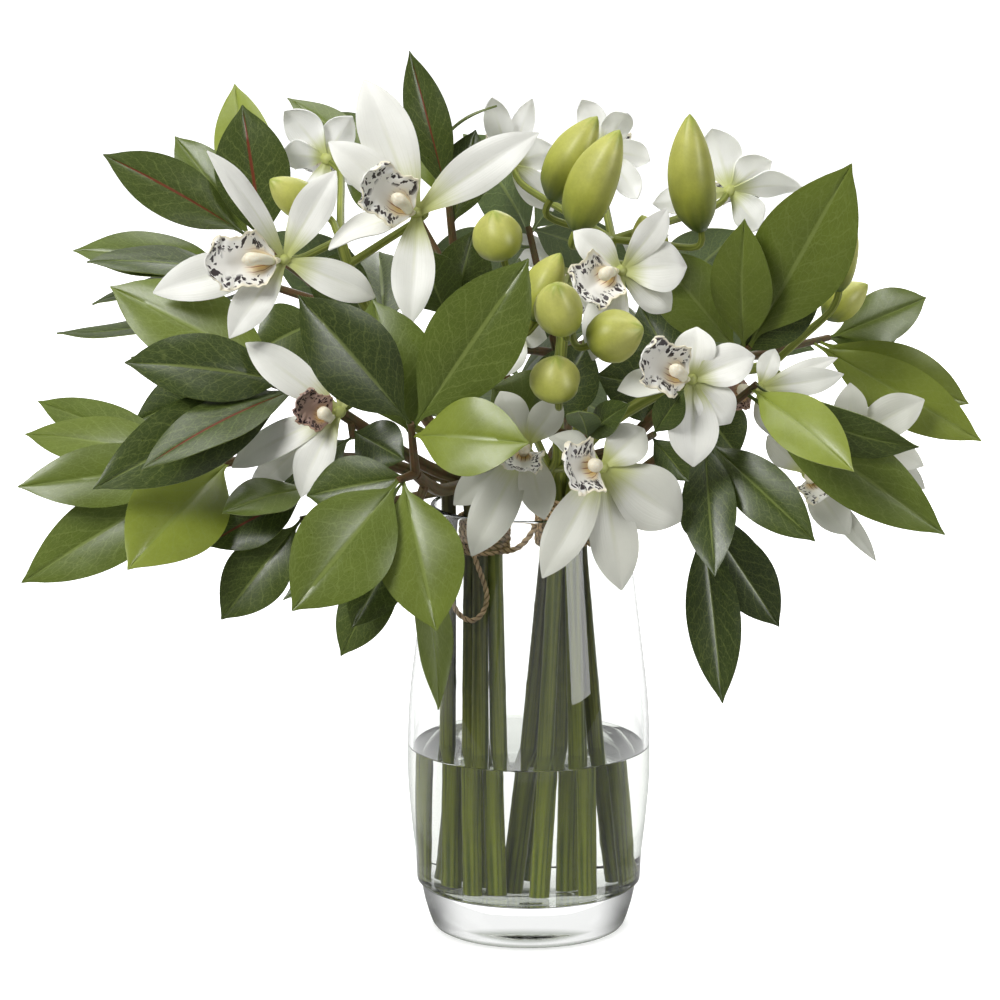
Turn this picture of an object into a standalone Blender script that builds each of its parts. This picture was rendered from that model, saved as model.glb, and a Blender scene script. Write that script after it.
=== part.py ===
"""Cymbidium orchid arrangement: orchid and evergreen stems tied with twine in a glass vase of water."""
import math

import bmesh
import bpy
from mathutils import Quaternion, Vector
from mathutils.bvhtree import BVHTree

# Driving dimensions, all in millimetres. The drawing is turned into metres as each mesh is made.
to_metres = 0.001
vase_height = 196.0
vase_wall = 2.4
vase_floor = 20.0
water_top = 84.0
stem_radius = 3.3
leaf_thickness = 0.75
tepal_thickness = 0.8
hub_radius = 3.4
gap = 0.35
eye = Vector((-13.0, -2000.0, 585.0))
left_tie = Vector((-20.0, -5.0, 183.0))
right_tie = Vector((15.5, -5.0, 189.0))

# Outline of a blade: place along it, half width as a share, thickness as a share.
leaf_outline = [(0.1, 0.10, 2.2), (0.32, 0.76, 1.2), (0.56, 1.0, 1.0), (0.8, 0.68, 1.0)]
short_tepal_outline = [(0.3, 0.78, 1.3), (0.72, 0.94, 1.0)]
short_leaf_outline = [(0.12, 0.14, 2.0), (0.38, 0.9, 1.0), (0.7, 0.88, 1.0)]
tepal_outline = [(0.24, 0.64, 1.4), (0.56, 1.0, 1.0), (0.85, 0.68, 1.0)]
lip_outline = [(0.3, 0.86, 1.2), (0.55, 0.64, 1.0), (0.82, 1.0, 1.0)]
front = Vector((0.0, -0.94, 0.34))
rear = Vector((0.0, 0.94, 0.34))

solids = {}
taken = []


def seen(x, height, depth):
    """The point at this depth that covers (x, height) on the vase's axis plane from the front viewpoint."""
    flat = Vector((x, 0.0, height))
    return eye + (flat - eye) * ((depth - eye.y) / -eye.y)


def place(spot):
    return seen(spot[0], spot[1], spot[2])


# Closed solids as lists of corners and faces
def closed(corners, faces):
    """Split every face into triangles."""
    triangles = []
    for face in faces:
        for k in range(1, len(face) - 1):
            triangles.append((face[0], face[k], face[k + 1]))
    return corners, triangles


def tube(points, radii, sides=6):
    corners = []
    faces = []
    last = len(points) - 1
    across = (points[1] - points[0]).normalized().orthogonal().normalized()
    for i, point in enumerate(points):
        ahead = points[min(i + 1, last)] - points[max(i - 1, 0)]
        ahead.normalize()
        across = (across - ahead * across.dot(ahead)).normalized()
        other = ahead.cross(across)
        for k in range(sides):
            angle = 2 * math.pi * k / sides
            corners.append(point + (across * math.cos(angle) + other * math.sin(angle)) * radii[i])
    for i in range(last):
        for k in range(sides):
            a = i * sides + k
            b = i * sides + (k + 1) % sides
            faces.append((a, b, b + sides, a + sides))
    faces.append(tuple(reversed(range(sides))))
    faces.append(tuple(range(last * sides, (last + 1) * sides)))
    return closed(corners, faces)


def turned(profile, sides):
    """A body of revolution round the vertical axis from a closed outline that starts and ends on it."""
    corners = [Vector((0, 0, profile[0][1]))]
    faces = []
    rings = profile[1:-1]
    for radius, height in rings:
        for k in range(sides):
            angle = 2 * math.pi * k / sides
            corners.append(Vector((radius * math.cos(angle), radius * math.sin(angle), height)))
    corners.append(Vector((0, 0, profile[-1][1])))
    end = len(corners) - 1
    last = 1 + (len(rings) - 1) * sides
    for k in range(sides):
        n = (k + 1) % sides
        faces.append((0, 1 + n, 1 + k))
        faces.append((end, last + k, last + n))
        for i in range(len(rings) - 1):
            a = 1 + i * sides
            faces.append((a + k, a + n, a + sides + n, a + sides + k))
    return closed(corners, faces)


def heart(centre, radius, aim):
    """The small middle of a bloom: eight sides, with a corner ahead and a corner behind."""
    side = aim.orthogonal().normalized()
    up = aim.cross(side)
    corners = [centre + way_out * radius for way_out in (side, -side, up, -up, aim, -aim)]
    faces = [(0, 2, 4), (2, 1, 4), (1, 3, 4), (3, 0, 4), (2, 0, 5), (1, 2, 5), (3, 1, 5), (0, 3, 5)]
    return corners, faces


def turned_face(axis, look, roll):
    """The way a blade's upper face looks: square to its axis, nearest to look, then rolled."""
    if abs(axis.dot(look)) > 0.96:
        look = Vector((0.0, 0.0, 1.0))
    face = (look - axis * axis.dot(look)).normalized()
    return Quaternion(axis, math.radians(roll)) @ face


def blade(shape, grow=0.0, first=0):
    """A leaf, sepal, petal or lip: a thin folded plate on a bowed centre line.

    shape holds base, tip, width, the way its face looks, roll, arch, fold, outline and thick. With grow
    the plate is that much bigger all round; first leaves out the stations before it.
    """
    base, tip, width, look, roll, arch, fold, outline, thick = shape
    axis = tip - base
    length = axis.length
    axis = axis / length
    face = turned_face(axis, look, roll)
    side = axis.cross(face)
    middle = (base + tip) / 2 + face * (2 * arch * length)
    corners = []
    rows = []
    stations = [(t, share, stout) for t, share, stout in outline if t >= first]
    ends = [(base, -1, 2.4)] if first == 0 else []
    for spot, way_out, stout in ends:
        along = (middle - base).normalized()
        rise = side.cross(along) * (thick * stout / 2 + grow)
        corners += [spot + rise, spot - rise]
        rows.append([0])
    for t, share, stout in stations:
        centre = base * (1 - t) ** 2 + middle * (2 * t * (1 - t)) + tip * t * t
        along = ((middle - base) * (1 - t) + (tip - middle) * t).normalized()
        up = side.cross(along)
        half = max(width / 2 * share, 1.1) + grow
        lift = up * (fold * half)
        rise = up * (thick * stout / 2 + grow)
        row = []
        for k in ((-1, 0, 1) if fold and share > 0.2 else (-1, 1)):
            spot = centre + side * (half * k) + lift * abs(k)
            row.append(len(corners))
            corners.append(spot + rise)
            corners.append(spot - rise)
        rows.append(row)
    along = (tip - middle).normalized()
    rise = side.cross(along) * (thick / 2 + grow)
    rows.append([len(corners)])
    corners += [tip + along * grow + rise, tip + along * grow - rise]
    return corners, blade_faces(rows)


def blade_faces(rows):
    """Both faces and the rim between rows of one, two or three places across the blade."""
    faces = []
    for row, after in zip(rows, rows[1:]):
        low = 0
        high = 0
        while low < len(row) - 1 or high < len(after) - 1:
            ahead = high < len(after) - 1 and (low == len(row) - 1 or high * len(row) <= low * len(after))
            if ahead:
                corner = (row[low], after[high + 1], after[high])
                high += 1
            else:
                corner = (row[low], row[low + 1], after[high])
                low += 1
            faces.append(corner)
            faces.append((corner[1] + 1, corner[0] + 1, corner[2] + 1))
        a, c, d, f = row[0], row[-1], after[0], after[-1]
        faces += [(a + 1, a, d), (a + 1, d, d + 1), (c, c + 1, f + 1), (c, f + 1, f)]
    for row in (rows[0], rows[-1]):
        for a, b in zip(row, row[1:]):
            faces += [(a, a + 1, b + 1), (a, b + 1, b)]
    return faces


# Room kept between pieces
def bounds(corners):
    low = [min(v[k] for v in corners) for k in range(3)]
    high = [max(v[k] for v in corners) for k in range(3)]
    return low, high


def tree_of(solid):
    return BVHTree.FromPolygons(solid[0], solid[1], all_triangles=True)


def touches(solid, item):
    low, high = bounds(solid[0])
    if any(low[k] > item["high"][k] or high[k] < item["low"][k] for k in range(3)):
        return False
    return bool(tree_of(solid).overlap(item["tree"]))


def keep(node, solid, outer=None):
    """Fuse a solid into a node and keep its room; outer is the part its own node's blades keep clear of."""
    solids.setdefault(node, []).append(solid)
    low, high = bounds(solid[0])
    item = {"node": node, "low": low, "high": high, "tree": tree_of(solid), "outer": None}
    if outer is not None:
        low, high = bounds(outer[0])
        item["outer"] = {"low": low, "high": high, "tree": tree_of(outer)}
    taken.append(item)


def clear(node, whole, outer):
    for item in taken:
        if item["node"] != node:
            if touches(whole, item):
                return False
        elif item["outer"] is not None and outer is not None:
            if touches(outer, item["outer"]):
                return False
    return True


# Small turns tried in order until a blade is clear of what is already there
turns = []
for size in (1.0, 0.9, 0.8, 0.66):
    for pitch in (0, -7, 7, -14, 14, -22, 22, -32, 32, -44, 44):
        for yaw in (0, 8, -8, 17, -17):
            for twist in (0, 18, -18, 40, -40):
                cost = abs(pitch) + 1.6 * abs(yaw) + 0.5 * abs(twist) + 160 * (1 - size)
                turns.append((cost, pitch, yaw, twist, size))
turns.sort(key=lambda turn: (turn[0], turn[1], turn[2], turn[3]))


def fit(node, shape):
    """Bend a blade about its base by the smallest turn that keeps it clear, then fuse it in."""
    base, tip, width, look, roll, arch, fold, outline, thick = shape
    face = turned_face((tip - base).normalized(), look, 0)
    side = (tip - base).normalized().cross(face)
    for cost, pitch, yaw, twist, size in turns:
        reach = Quaternion(side, math.radians(pitch)) @ (tip - base)
        reach = Quaternion(face, math.radians(yaw)) @ reach
        tried = (base, base + reach * size, width * size, look, roll + twist, arch, fold, outline, thick)
        whole = blade(tried, gap)
        if clear(node, whole, blade(tried, gap, 0.3)):
            keep(node, blade(tried), blade(tried, 0.0, 0.3))
            return tried
    return None


def way(points, steps=4):
    """A smooth line through the points."""
    line = []
    last = len(points) - 1
    for i in range(last):
        p0 = points[max(i - 1, 0)]
        p1 = points[i]
        p2 = points[i + 1]
        p3 = points[min(i + 2, last)]
        for k in range(steps):
            t = k / steps
            a = p1 * 2 + (p2 - p0) * t
            b = (p0 * 2 - p1 * 5 + p2 * 4 - p3) * (t * t)
            c = (p1 * 3 - p0 - p2 * 3 + p3) * (t ** 3)
            line.append((a + b + c) / 2)
    line.append(points[-1].copy())
    return line


def twig(node, line, start, rest, thick, thin):
    """A side branch from a stem's line, bowed aside by the smallest amount that keeps it clear."""
    count = len(line)
    starts = sorted(range(2, count), key=lambda k: abs(k - start % count))[:5]
    for bow in (0, 4, 8, 12, 17, 23, 30, 38):
        for begin in starts:
            reach = (rest[-1] - line[begin]).normalized()
            aside = reach.orthogonal().normalized()
            for k in range(8 if bow else 1):
                push = Quaternion(reach, math.pi * k / 4) @ aside * bow
                path = way([line[begin], (line[begin] + rest[0]) / 2 + push] + rest, 2)
                sizes = [thick + (thin - thick) * i / (len(path) - 1) for i in range(len(path))]
                if clear(node, tube(path, [size + gap for size in sizes], 5), None):
                    keep(node, tube(path, sizes, 5))
                    return path
    return [line[start], rest[-1]]


def along(line, back):
    """The point this far back from the end of a line."""
    for a, b in zip(reversed(line), list(reversed(line))[1:]):
        if back <= (b - a).length:
            return a + (b - a).normalized() * back
        back -= (b - a).length
    return line[0].copy()


# Vase, water and stems below the ties
def vase_outline():
    outer = [(41.5, 0.0), (43.8, 1.8), (45.6, 6.0), (48.4, 17.0), (48.8, 20.6), (50.4, 22.4)]
    outer += [(51.4, 34.0), (53.2, 49.0), (54.8, 68.0), (55.0, 84.0), (53.9, 108.0), (50.4, 138.0)]
    outer += [(46.8, 168.0), (44.7, 188.0), (44.3, 195.4), (43.3, vase_height), (42.3, 195.4)]
    return outer


def inner_radius(height):
    outer = [point for point in vase_outline() if point[1] > 21.5 and point[0] > 44]
    for low, high in zip(outer, outer[1:]):
        if low[1] <= height <= high[1]:
            return low[0] + (high[0] - low[0]) * (height - low[1]) / (high[1] - low[1]) - vase_wall
    return outer[0][0] - vase_wall


inner_heights = [186.0, 168.0, 138.0, 108.0, 84.0, 68.0, 49.0]


def vase():
    inner = [(inner_radius(h), h) for h in inner_heights]
    profile = [(0, 0.0)] + vase_outline() + inner
    profile += [(46.2, 25.5), (44.2, 21.6), (41.2, vase_floor), (0, vase_floor)]
    return turned(profile, 24)


def water_body():
    sides = [(inner_radius(h) - gap, h) for h in (49.0, 68.0, water_top)]
    profile = [(0, vase_floor + gap), (40.9, vase_floor + gap), (43.8, 21.8), (45.8, 25.7)] + sides
    profile += [(0, water_top)]
    return turned(profile, 24)


# Each stem: its foot on the vase floor and its place in one of the ties
feet = {}
ties = {}


def set_stems():
    ring = 5.9
    spots = [(-12, -18), (-13, 11), (-22, 22), (-27, -2), (-22, -22)]
    for k, angle in enumerate((324, 36, 108, 180, 252)):
        a = math.radians(angle)
        feet["left_%d" % k] = spots[k]
        ties["left_%d" % k] = left_tie + Vector((math.cos(a), math.sin(a), 0)) * ring
    ring = 7.1
    spots = [(36, -2), (26, 21), (1, 22), (-6, -6), (4, -24), (23, -22)]
    for k, angle in enumerate((0, 60, 120, 180, 240, 300)):
        a = math.radians(angle)
        feet["right_%d" % k] = spots[k]
        ties["right_%d" % k] = right_tie + Vector((math.cos(a), math.sin(a), 0)) * ring
    feet["right_6"] = (13, 1)
    ties["right_6"] = right_tie.copy()
    feet["loose"] = (-37.5, 3)
    ties["loose"] = Vector((-36, -3, 186))


def foot_of(key):
    return Vector((feet[key][0], feet[key][1], vase_floor + 2 * gap))


def keep_clear_of(name, solid):
    """Nothing that grows may pass through this solid, which is no part of a node in the list of solids."""
    low, high = bounds(solid[0])
    taken.append({"node": name, "low": low, "high": high, "tree": tree_of(solid), "outer": None})


def main_stem(node, key, above):
    """A stem from the vase floor through its tie and on through the points above."""
    foot = foot_of(key)
    tie = ties[key]
    low = tie - Vector((0, 0, 14))
    high = tie + Vector((0, 0, 14))
    centre = left_tie if key.startswith("left") else right_tie
    apart = Vector((tie.x - centre.x, tie.y - centre.y, 0)) * 0.7
    if key == "loose":
        apart = Vector((-1.0, 0, 0))
    bend = way([high, high + apart + Vector((0, 0, 11))] + above, 2)
    line = [foot, low] + bend
    radii = [stem_radius] * 2
    for k in range(len(bend)):
        radii.append(stem_radius - 0.9 * k / len(bend))
    keep(node, tube(line, radii, 6))
    return line


# Leafy stems
def spray(node, line, start, joint, leaves, thick=2.2):
    """A twig from a point of a stem's line to a joint, with its leaves set round the joint."""
    end = place(joint)
    path = twig(node, line, start, [end], thick, 1.5)
    for k, (tip, width, roll, arch) in enumerate(leaves):
        sprouts.append((node, along(path, 0.6 + 3.2 * k), place(tip), width, front, roll, arch))
    return path


sprouts = []


def grow_leaves():
    """Leaves are set last, the nearest to the front first."""
    for node, start, tip, width, look, roll, arch in sorted(sprouts, key=lambda item: item[2].y):
        outline = short_leaf_outline if width < 16 or look == rear else leaf_outline
        fit(node, (start, tip, width, look, roll, arch, 0.16, outline, leaf_thickness))


lines = {}


def main_stems():
    """The stems, each from the vase floor through its tie to where its twigs part."""
    routes = [
        ("leafy_stem_front", "left_4", [(-40, 201, -50), (-51, 209, -88)]),
        ("leafy_stem_left", "left_3", [(-44, 211, -22), (-80, 234, -40), (-100, 248, -52)]),
        ("leafy_stem_low_left", "loose", [(-44, 207, -6), (-67, 215, -18), (-98, 216, -34), (-130, 215, -44)]),
        ("leafy_stem_upper_left", "left_2", [(-40, 225, 14), (-67, 266, 22), (-98, 297, 26)]),
        ("leafy_stem_top", "left_1", [(-25, 229, 16), (-28, 270, 24), (-33, 306, 26)]),
        ("leafy_stem_upper_right", "right_1", [(41, 220, 0), (63, 243, -8), (85, 259, -18)]),
        ("leafy_stem_right", "right_0", [(45, 206, -16), (68, 225, -34), (86, 241, -48)]),
        ("leafy_stem_centre", "right_3", [(-4, 217, -9), (-5, 233, -12)]),
        ("orchid_stem_left", "left_0", [(-30, 225, -30), (-53, 257, -34), (-75, 288, -36), (-84, 315, -32)]),
        ("orchid_stem_centre", "right_4", [(14, 216, -30), (12, 243, -44), (15, 270, -52), (16, 293, -54)]),
        ("orchid_stem_top", "right_6", [(23, 229, 8), (25, 261, 10), (32, 293, 6), (37, 315, 2)]),
        ("orchid_stem_right", "right_5", [(27, 225, -22), (54, 244, -26), (82, 254, -30), (108, 258, -22)]),
    ]
    for node, key, above in routes:
        lines[node] = main_stem(node, key, [place(spot) for spot in above])
    above = [Vector((18, 26, 226)), Vector((14, 48, 256))]
    lines["leafy_stem_back"] = main_stem("leafy_stem_back", "right_2", above)


def rosette_stem():
    node = "leafy_stem_front"
    line = lines[node]
    spray(node, line, -1, (-53, 232, -104), [
        ((-103, 290, -128), 36, 0, 0.05),
        ((-3, 305, -118), 40, 10, 0.06),
        ((0, 223, -128), 34, 0, 0.08),
        ((-70, 288, -84), 38, 0, 0.06),
    ])
    spray(node, line, -1, (-59, 206, -100), [
        ((-107, 146, -134), 42, -8, 0.08),
        ((-42, 139, -132), 37, 0, 0.07),
        ((-111, 151, -96), 20, 30, -0.06),
        ((-100, 199, -82), 26, 0, 0.05),
    ])
    spray(node, line, -2, (-57, 177, -88), [
        ((-85, 125, -92), 24, 10, 0.05),
        ((-80, 138, -108), 24, 0, 0.05),
        ((-41, 100, -84), 22, -45, 0.06),
    ])
    spray(node, line, -3, (-103, 188, -66), [
        ((-139, 142, -72), 28, 0, 0.04),
    ])


def left_stem():
    node = "leafy_stem_left"
    line = lines[node]
    spray(node, line, -1, (-107, 251, -60), [
        ((-183, 300, -84), 38, 8, 0.05),
        ((-183, 258, -72), 33, 0, 0.05),
        ((-196, 202, -100), 34, 0, 0.05),
        ((-174, 211, -116), 26, 30, 0.05),
    ])
    spray(node, line, -3, (-79, 225, -44), [
        ((-110, 202, -56), 26, 0, 0.05),
        ((-54, 219, -56), 24, 0, 0.05),
    ], 1.8)
    spray(node, line, -2, (-127, 254, -24), [
        ((-178, 262, -30), 12, 30, 0.04),
        ((-177, 233, -20), 26, 0, 0.04),
    ])


def low_left_stem():
    node = "leafy_stem_low_left"
    line = lines[node]
    spray(node, line, -1, (-148, 212, -50), [
        ((-220, 242, 10), 22, 20, 0.03),
        ((-226, 227, -10), 26, 20, 0.05),
        ((-230, 203, -50), 28, 0, 0.04),
        ((-229, 159, -40), 33, 0, 0.05),
        ((-181, 165, -104), 42, 0, 0.07),
    ])
    spray(node, line, -4, (-99, 201, -64), [
        ((-146, 177, -78), 26, 10, 0.05),
        ((-138, 191, -88), 24, 35, 0.05),
    ])


def upper_left_stem():
    node = "leafy_stem_upper_left"
    line = lines[node]
    spray(node, line, -1, (-126, 317, 30), [
        ((-189, 353, 20), 28, 10, 0.06),
        ((-157, 361, 50), 24, 0, 0.06),
        ((-131, 388, 64), 27, 0, 0.06),
        ((-127, 375, 30), 34, 0, 0.06),
    ])
    spray(node, line, -3, (-92, 280, 16), [
        ((-122, 265, 8), 30, 0, 0.05),
        ((-80, 311, 6), 28, 0, 0.05),
    ], 1.8)
    spray(node, line, -2, (-129, 299, 20), [
        ((-203, 310, 30), 27, 30, 0.06),
        ((-197, 305, 4), 26, 48, 0.05),
        ((-195, 286, 24), 24, 60, 0.06),
        ((-211, 273, 46), 24, 60, -0.07),
    ])


def top_stem():
    node = "leafy_stem_top"
    line = lines[node]
    spray(node, line, -1, (-36, 333, 24), [
        ((-53, 399, 14), 20, 0, 0.05),
        ((-63, 380, 44), 18, 20, 0.05),
        ((-15, 375, 26), 15, -80, 0.30),
        ((-17, 374, 62), 20, 10, 0.06),
        ((-30, 365, 34), 24, 0, 0.06),
    ])
    spray(node, line, -3, (-37, 280, 10), [
        ((-49, 311, 2), 27, 0, 0.05),
        ((-25, 319, 14), 26, 10, 0.05),
    ], 1.8)
    spray(node, line, -2, (-57, 338, 48), [
        ((-107, 378, 76), 22, 30, 0.05),
        ((-82, 343, 44), 25, 0, 0.05),
        ((-86, 372, 96), 26, 0, 0.06),
    ])


def upper_right_stem():
    node = "leafy_stem_upper_right"
    line = lines[node]
    spray(node, line, -1, (99, 267, -28), [
        ((143, 349, -66), 43, 4, 0.05),
        ((95, 329, -52), 28, -20, 0.06),
        ((55, 311, -16), 32, 0, 0.05),
        ((131, 298, -40), 24, 20, 0.06),
    ])
    spray(node, line, -3, (77, 242, 6), [
        ((30, 254, 0), 32, 0, 0.05),
        ((94, 217, -6), 28, 0, 0.05),
        ((49, 288, 20), 26, 0, 0.05),
    ], 1.8)
    spray(node, line, -1, (134, 271, 16), [
        ((177, 289, 34), 24, 15, 0.06),
        ((168, 278, 50), 24, 30, 0.05),
        ((197, 241, 20), 28, 15, 0.06),
        ((203, 224, -6), 27, 10, 0.05),
    ])


def right_stem():
    node = "leafy_stem_right"
    line = lines[node]
    spray(node, line, 3, (56, 227, -90), [
        ((66, 249, -98), 14, 0, 0.05),
        ((72, 206, -94), 14, 0, 0.05),
    ], 1.8)
    spray(node, line, -1, (102, 250, -74), [
        ((173, 226, -106), 27, 55, 0.10),
        ((146, 210, -120), 26, -5, 0.08),
        ((189, 183, -96), 31, 8, 0.04),
    ])
    spray(node, line, -2, (79, 225, -62), [
        ((129, 178, -90), 25, 8, 0.04),
        ((84, 162, -100), 24, 10, 0.05),
        ((84, 184, -78), 22, 30, -0.08),
    ])
    spray(node, line, -3, (78, 190, -46), [
        ((88, 103, -60), 24, 0, 0.03),
        ((115, 138, -50), 26, 10, 0.05),
        ((108, 146, -28), 22, 0, 0.05),
        ((76, 178, -60), 14, 30, 0.05),
    ])


def small_leaf_stem():
    node = "leafy_stem_centre"
    line = lines[node]
    spray(node, line, -1, (27, 225, -84), [
        ((18, 243, -104), 15, 0, 0.05),
        ((48, 242, -100), 15, 0, 0.05),
    ], 1.8)
    spray(node, line, -1, (6, 229, -28), [
        ((-20, 250, -50), 38, 0, 0.06),
        ((27, 268, -16), 30, 0, 0.06),
    ])
    spray(node, line, -1, (-13, 266, -8), [
        ((-26, 288, -14), 28, 10, 0.06),
        ((5, 293, 0), 28, 0, 0.06),
        ((-4, 311, 10), 24, -20, 0.06),
    ])


def back_stem():
    node = "leafy_stem_back"
    line = lines[node]
    joints = [
        (Vector((-70, 78, 262)), -60),
        (Vector((-6, 96, 236)), 0),
        (Vector((60, 84, 268)), 45),
        (Vector((0, 66, 312)), 10),
    ]
    for k, (joint, turn) in enumerate(joints):
        path = twig(node, line, -1 - k % 2, [joint], 2.2, 1.5)
        out = Vector((joint.x, joint.y, 0)).normalized()
        aside = Vector((-out.y, out.x, 0))
        for j, angle in enumerate((-112, -38, 34, 108)):
            a = math.radians(angle + turn / 6)
            reach = out * (30 + 14 * ((j + k) % 3)) + aside * (52 * math.sin(a))
            reach = reach + Vector((0, 0, 1)) * (52 * math.cos(a) - 6)
            width = 28 + 4 * ((j + 2 * k) % 3)
            root = along(path, 0.6 + 3.0 * j)
            sprouts.append((node, root, joint + reach, width, rear, 0, 0.06))


# Blooms and the stems that carry them
blooms = []
shoots = []


def grow_shoots():
    """The stalks of blooms and buds are led in once every lip and bud has its place."""
    for node, line, start, rest, thick, thin in shoots:
        twig(node, line, start, rest, thick, thin)


def bloom(name, centre, facing, lip_tip, lip_width, tepals, look=front):
    """Fix a bloom's middle and lip; its sepals and petals are set after every stalk and bud."""
    middle = place(centre)
    aim = Vector(facing).normalized()
    foot = middle + aim * (hub_radius + gap + 2.8)
    node = name + "_lip"
    tip = place(lip_tip)
    shape = (foot, tip, lip_width, look, 0, -0.10, 0.22, lip_outline, 0.9)
    keep(node, blade(shape))
    out = (tip - foot).normalized()
    rise = turned_face(out, look, 0)
    reach = (tip - foot).length
    crown = foot + out * reach * 0.3 + rise * 5.0
    nose = foot + out * reach * 0.52 + rise * 4.6
    column = [foot - rise * 1.6, crown, nose]
    keep(node, tube(column, [2.4, 3.3, 2.2], 5))
    keep(node, tube([middle + aim * (hub_radius + gap), foot + aim], [1.2, 1.9], 5))
    keep(name + "_tepals", heart(middle, hub_radius, aim))
    blooms.append((name, middle, look, tepals))
    return middle, aim


def open_blooms():
    for name, middle, look, tepals in blooms:
        for tip, width, roll, arch in tepals:
            root = middle + (place(tip) - middle).normalized() * (hub_radius - 1.6)
            outline = short_tepal_outline if look == rear else tepal_outline
            shape = (root, place(tip), width, look, roll, arch, 0, outline, tepal_thickness)
            fit(name + "_tepals", shape)


def stalk(node, line, start, bloomed, thick=1.9):
    """The stalk of a bloom, up to just behind its middle."""
    middle, aim = bloomed
    back = middle - aim * (hub_radius + gap)
    away = middle - aim * (hub_radius + 9)
    shoots.append((node, line, start, [away, back], thick, 1.5))


def bud(node, line, start, base, tip, radius):
    """A closed bud on its stalk: round at the base, drawn to a point."""
    low = place(base)
    high = place(tip)
    shares = [(0, 0.30), (0.18, 0.84), (0.45, 1.0), (0.76, 0.72), (1.0, 0.14)]
    points = [low + (high - low) * t for t, share in shares]
    keep(node, tube(points, [radius * share for t, share in shares], 6))
    aim = (high - low).normalized()
    shoots.append((node, line, start, [low - aim * 8, low + aim * 2], 1.7, 1.6))


def orchid_left():
    node = "orchid_stem_left"
    line = lines[node]
    a = bloom("bloom_a", (-109, 306, -58), (-0.55, -0.8, 0.05), (-144, 304, -78), 27, [
        ((-142, 355, -72), 12, 20, 0.05),
        ((-86, 346, -58), 17, 0, 0.05),
        ((-167, 299, -84), 20, 0, 0.05),
        ((-134, 271, -76), 17, 0, 0.05),
        ((-68, 289, -52), 17, 0, 0.05),
    ])
    stalk(node, line, -1, a)
    b = bloom("bloom_b", (-50, 327, -44), (-0.35, -0.9, 0.15), (-73, 343, -66), 26, [
        ((-73, 387, -30), 24, 0, 0.05),
        ((-89, 359, -44), 18, 0, 0.05),
        ((-90, 312, -60), 17, 45, 0.05),
        ((4, 363, -56), 20, 0, 0.06),
        ((-53, 277, -66), 19, 0, 0.05),
    ])
    stalk(node, line, -2, b)
    f = bloom("bloom_f", (-85, 237, -70), (-0.6, -0.7, -0.3), (-104, 242, -84), 18, [
        ((-137, 215, -84), 16, 10, 0.05),
        ((-137, 200, -94), 14, 0, 0.05),
        ((-104, 201, -90), 17, 0, 0.05),
        ((-127, 269, -64), 17, 0, 0.05),
        ((-75, 265, -62), 15, 0, 0.05),
    ])
    stalk(node, line, 5, f)
    m = bloom("bloom_m", (-90, 351, 36), (-0.5, 0.7, 0.3), (-96, 346, 64), 22, [
        ((-106, 374, 44), 17, 0, 0.05),
        ((-110, 354, 40), 15, 0, 0.05),
        ((-79, 370, 46), 16, 0, 0.05),
        ((-70, 342, 34), 15, 0, 0.05),
        ((-94, 328, 24), 15, 0, 0.05),
    ], rear)
    stalk(node, line, -1, m)
    bud(node, line, -1, (-94, 328, -24), (-115, 342, -34), 8.5)


def orchid_centre():
    node = "orchid_stem_centre"
    line = lines[node]
    e = bloom("bloom_e", (33, 212, -98), (-0.35, -0.9, 0.1), (17, 211, -122), 26, [
        ((52, 230, -92), 19, 0, 0.05),
        ((69, 187, -96), 28, 0, 0.05),
        ((42, 155, -104), 21, 0, 0.05),
        ((6, 161, -112), 19, 0, 0.05),
        ((9, 227, -92), 14, 40, 0.08),
    ])
    stalk(node, line, 4, e)
    n = bloom("bloom_n", (-1, 222, -70), (-0.2, -0.9, -0.3), (-4, 211, -92), 20, [
        ((-26, 171, -82), 20, 0, 0.05),
        ((-35, 195, -76), 16, 0, 0.05),
        ((14, 243, -66), 15, 0, 0.05),
        ((-13, 247, -64), 15, 0, 0.05),
        ((7, 188, -80), 16, 0, 0.05),
    ])
    stalk(node, line, 4, n)
    i = bloom("bloom_i", (-4, 277, -34), (0.1, -0.95, 0.2), (-8, 290, -56), 18, [
        ((7, 270, -40), 14, 0, 0.05),
        ((-13, 253, -44), 16, 0, 0.05),
        ((-26, 275, -30), 16, 0, 0.05),
        ((5, 298, -28), 14, 0, 0.05),
        ((-22, 296, -26), 15, 0, 0.05),
    ])
    stalk(node, line, -2, i)
    bud(node, line, -1, (-11, 307, -52), (-16, 328, -60), 11)
    bud(node, line, -1, (1, 279, -60), (14, 309, -61), 9)
    bud(node, line, -1, (16, 275, -96), (12, 295, -114), 10.5)
    bud(node, line, -1, (28, 268, -88), (51, 275, -100), 11.5)
    bud(node, line, -2, (13, 244, -92), (12, 262, -102), 11)


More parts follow.
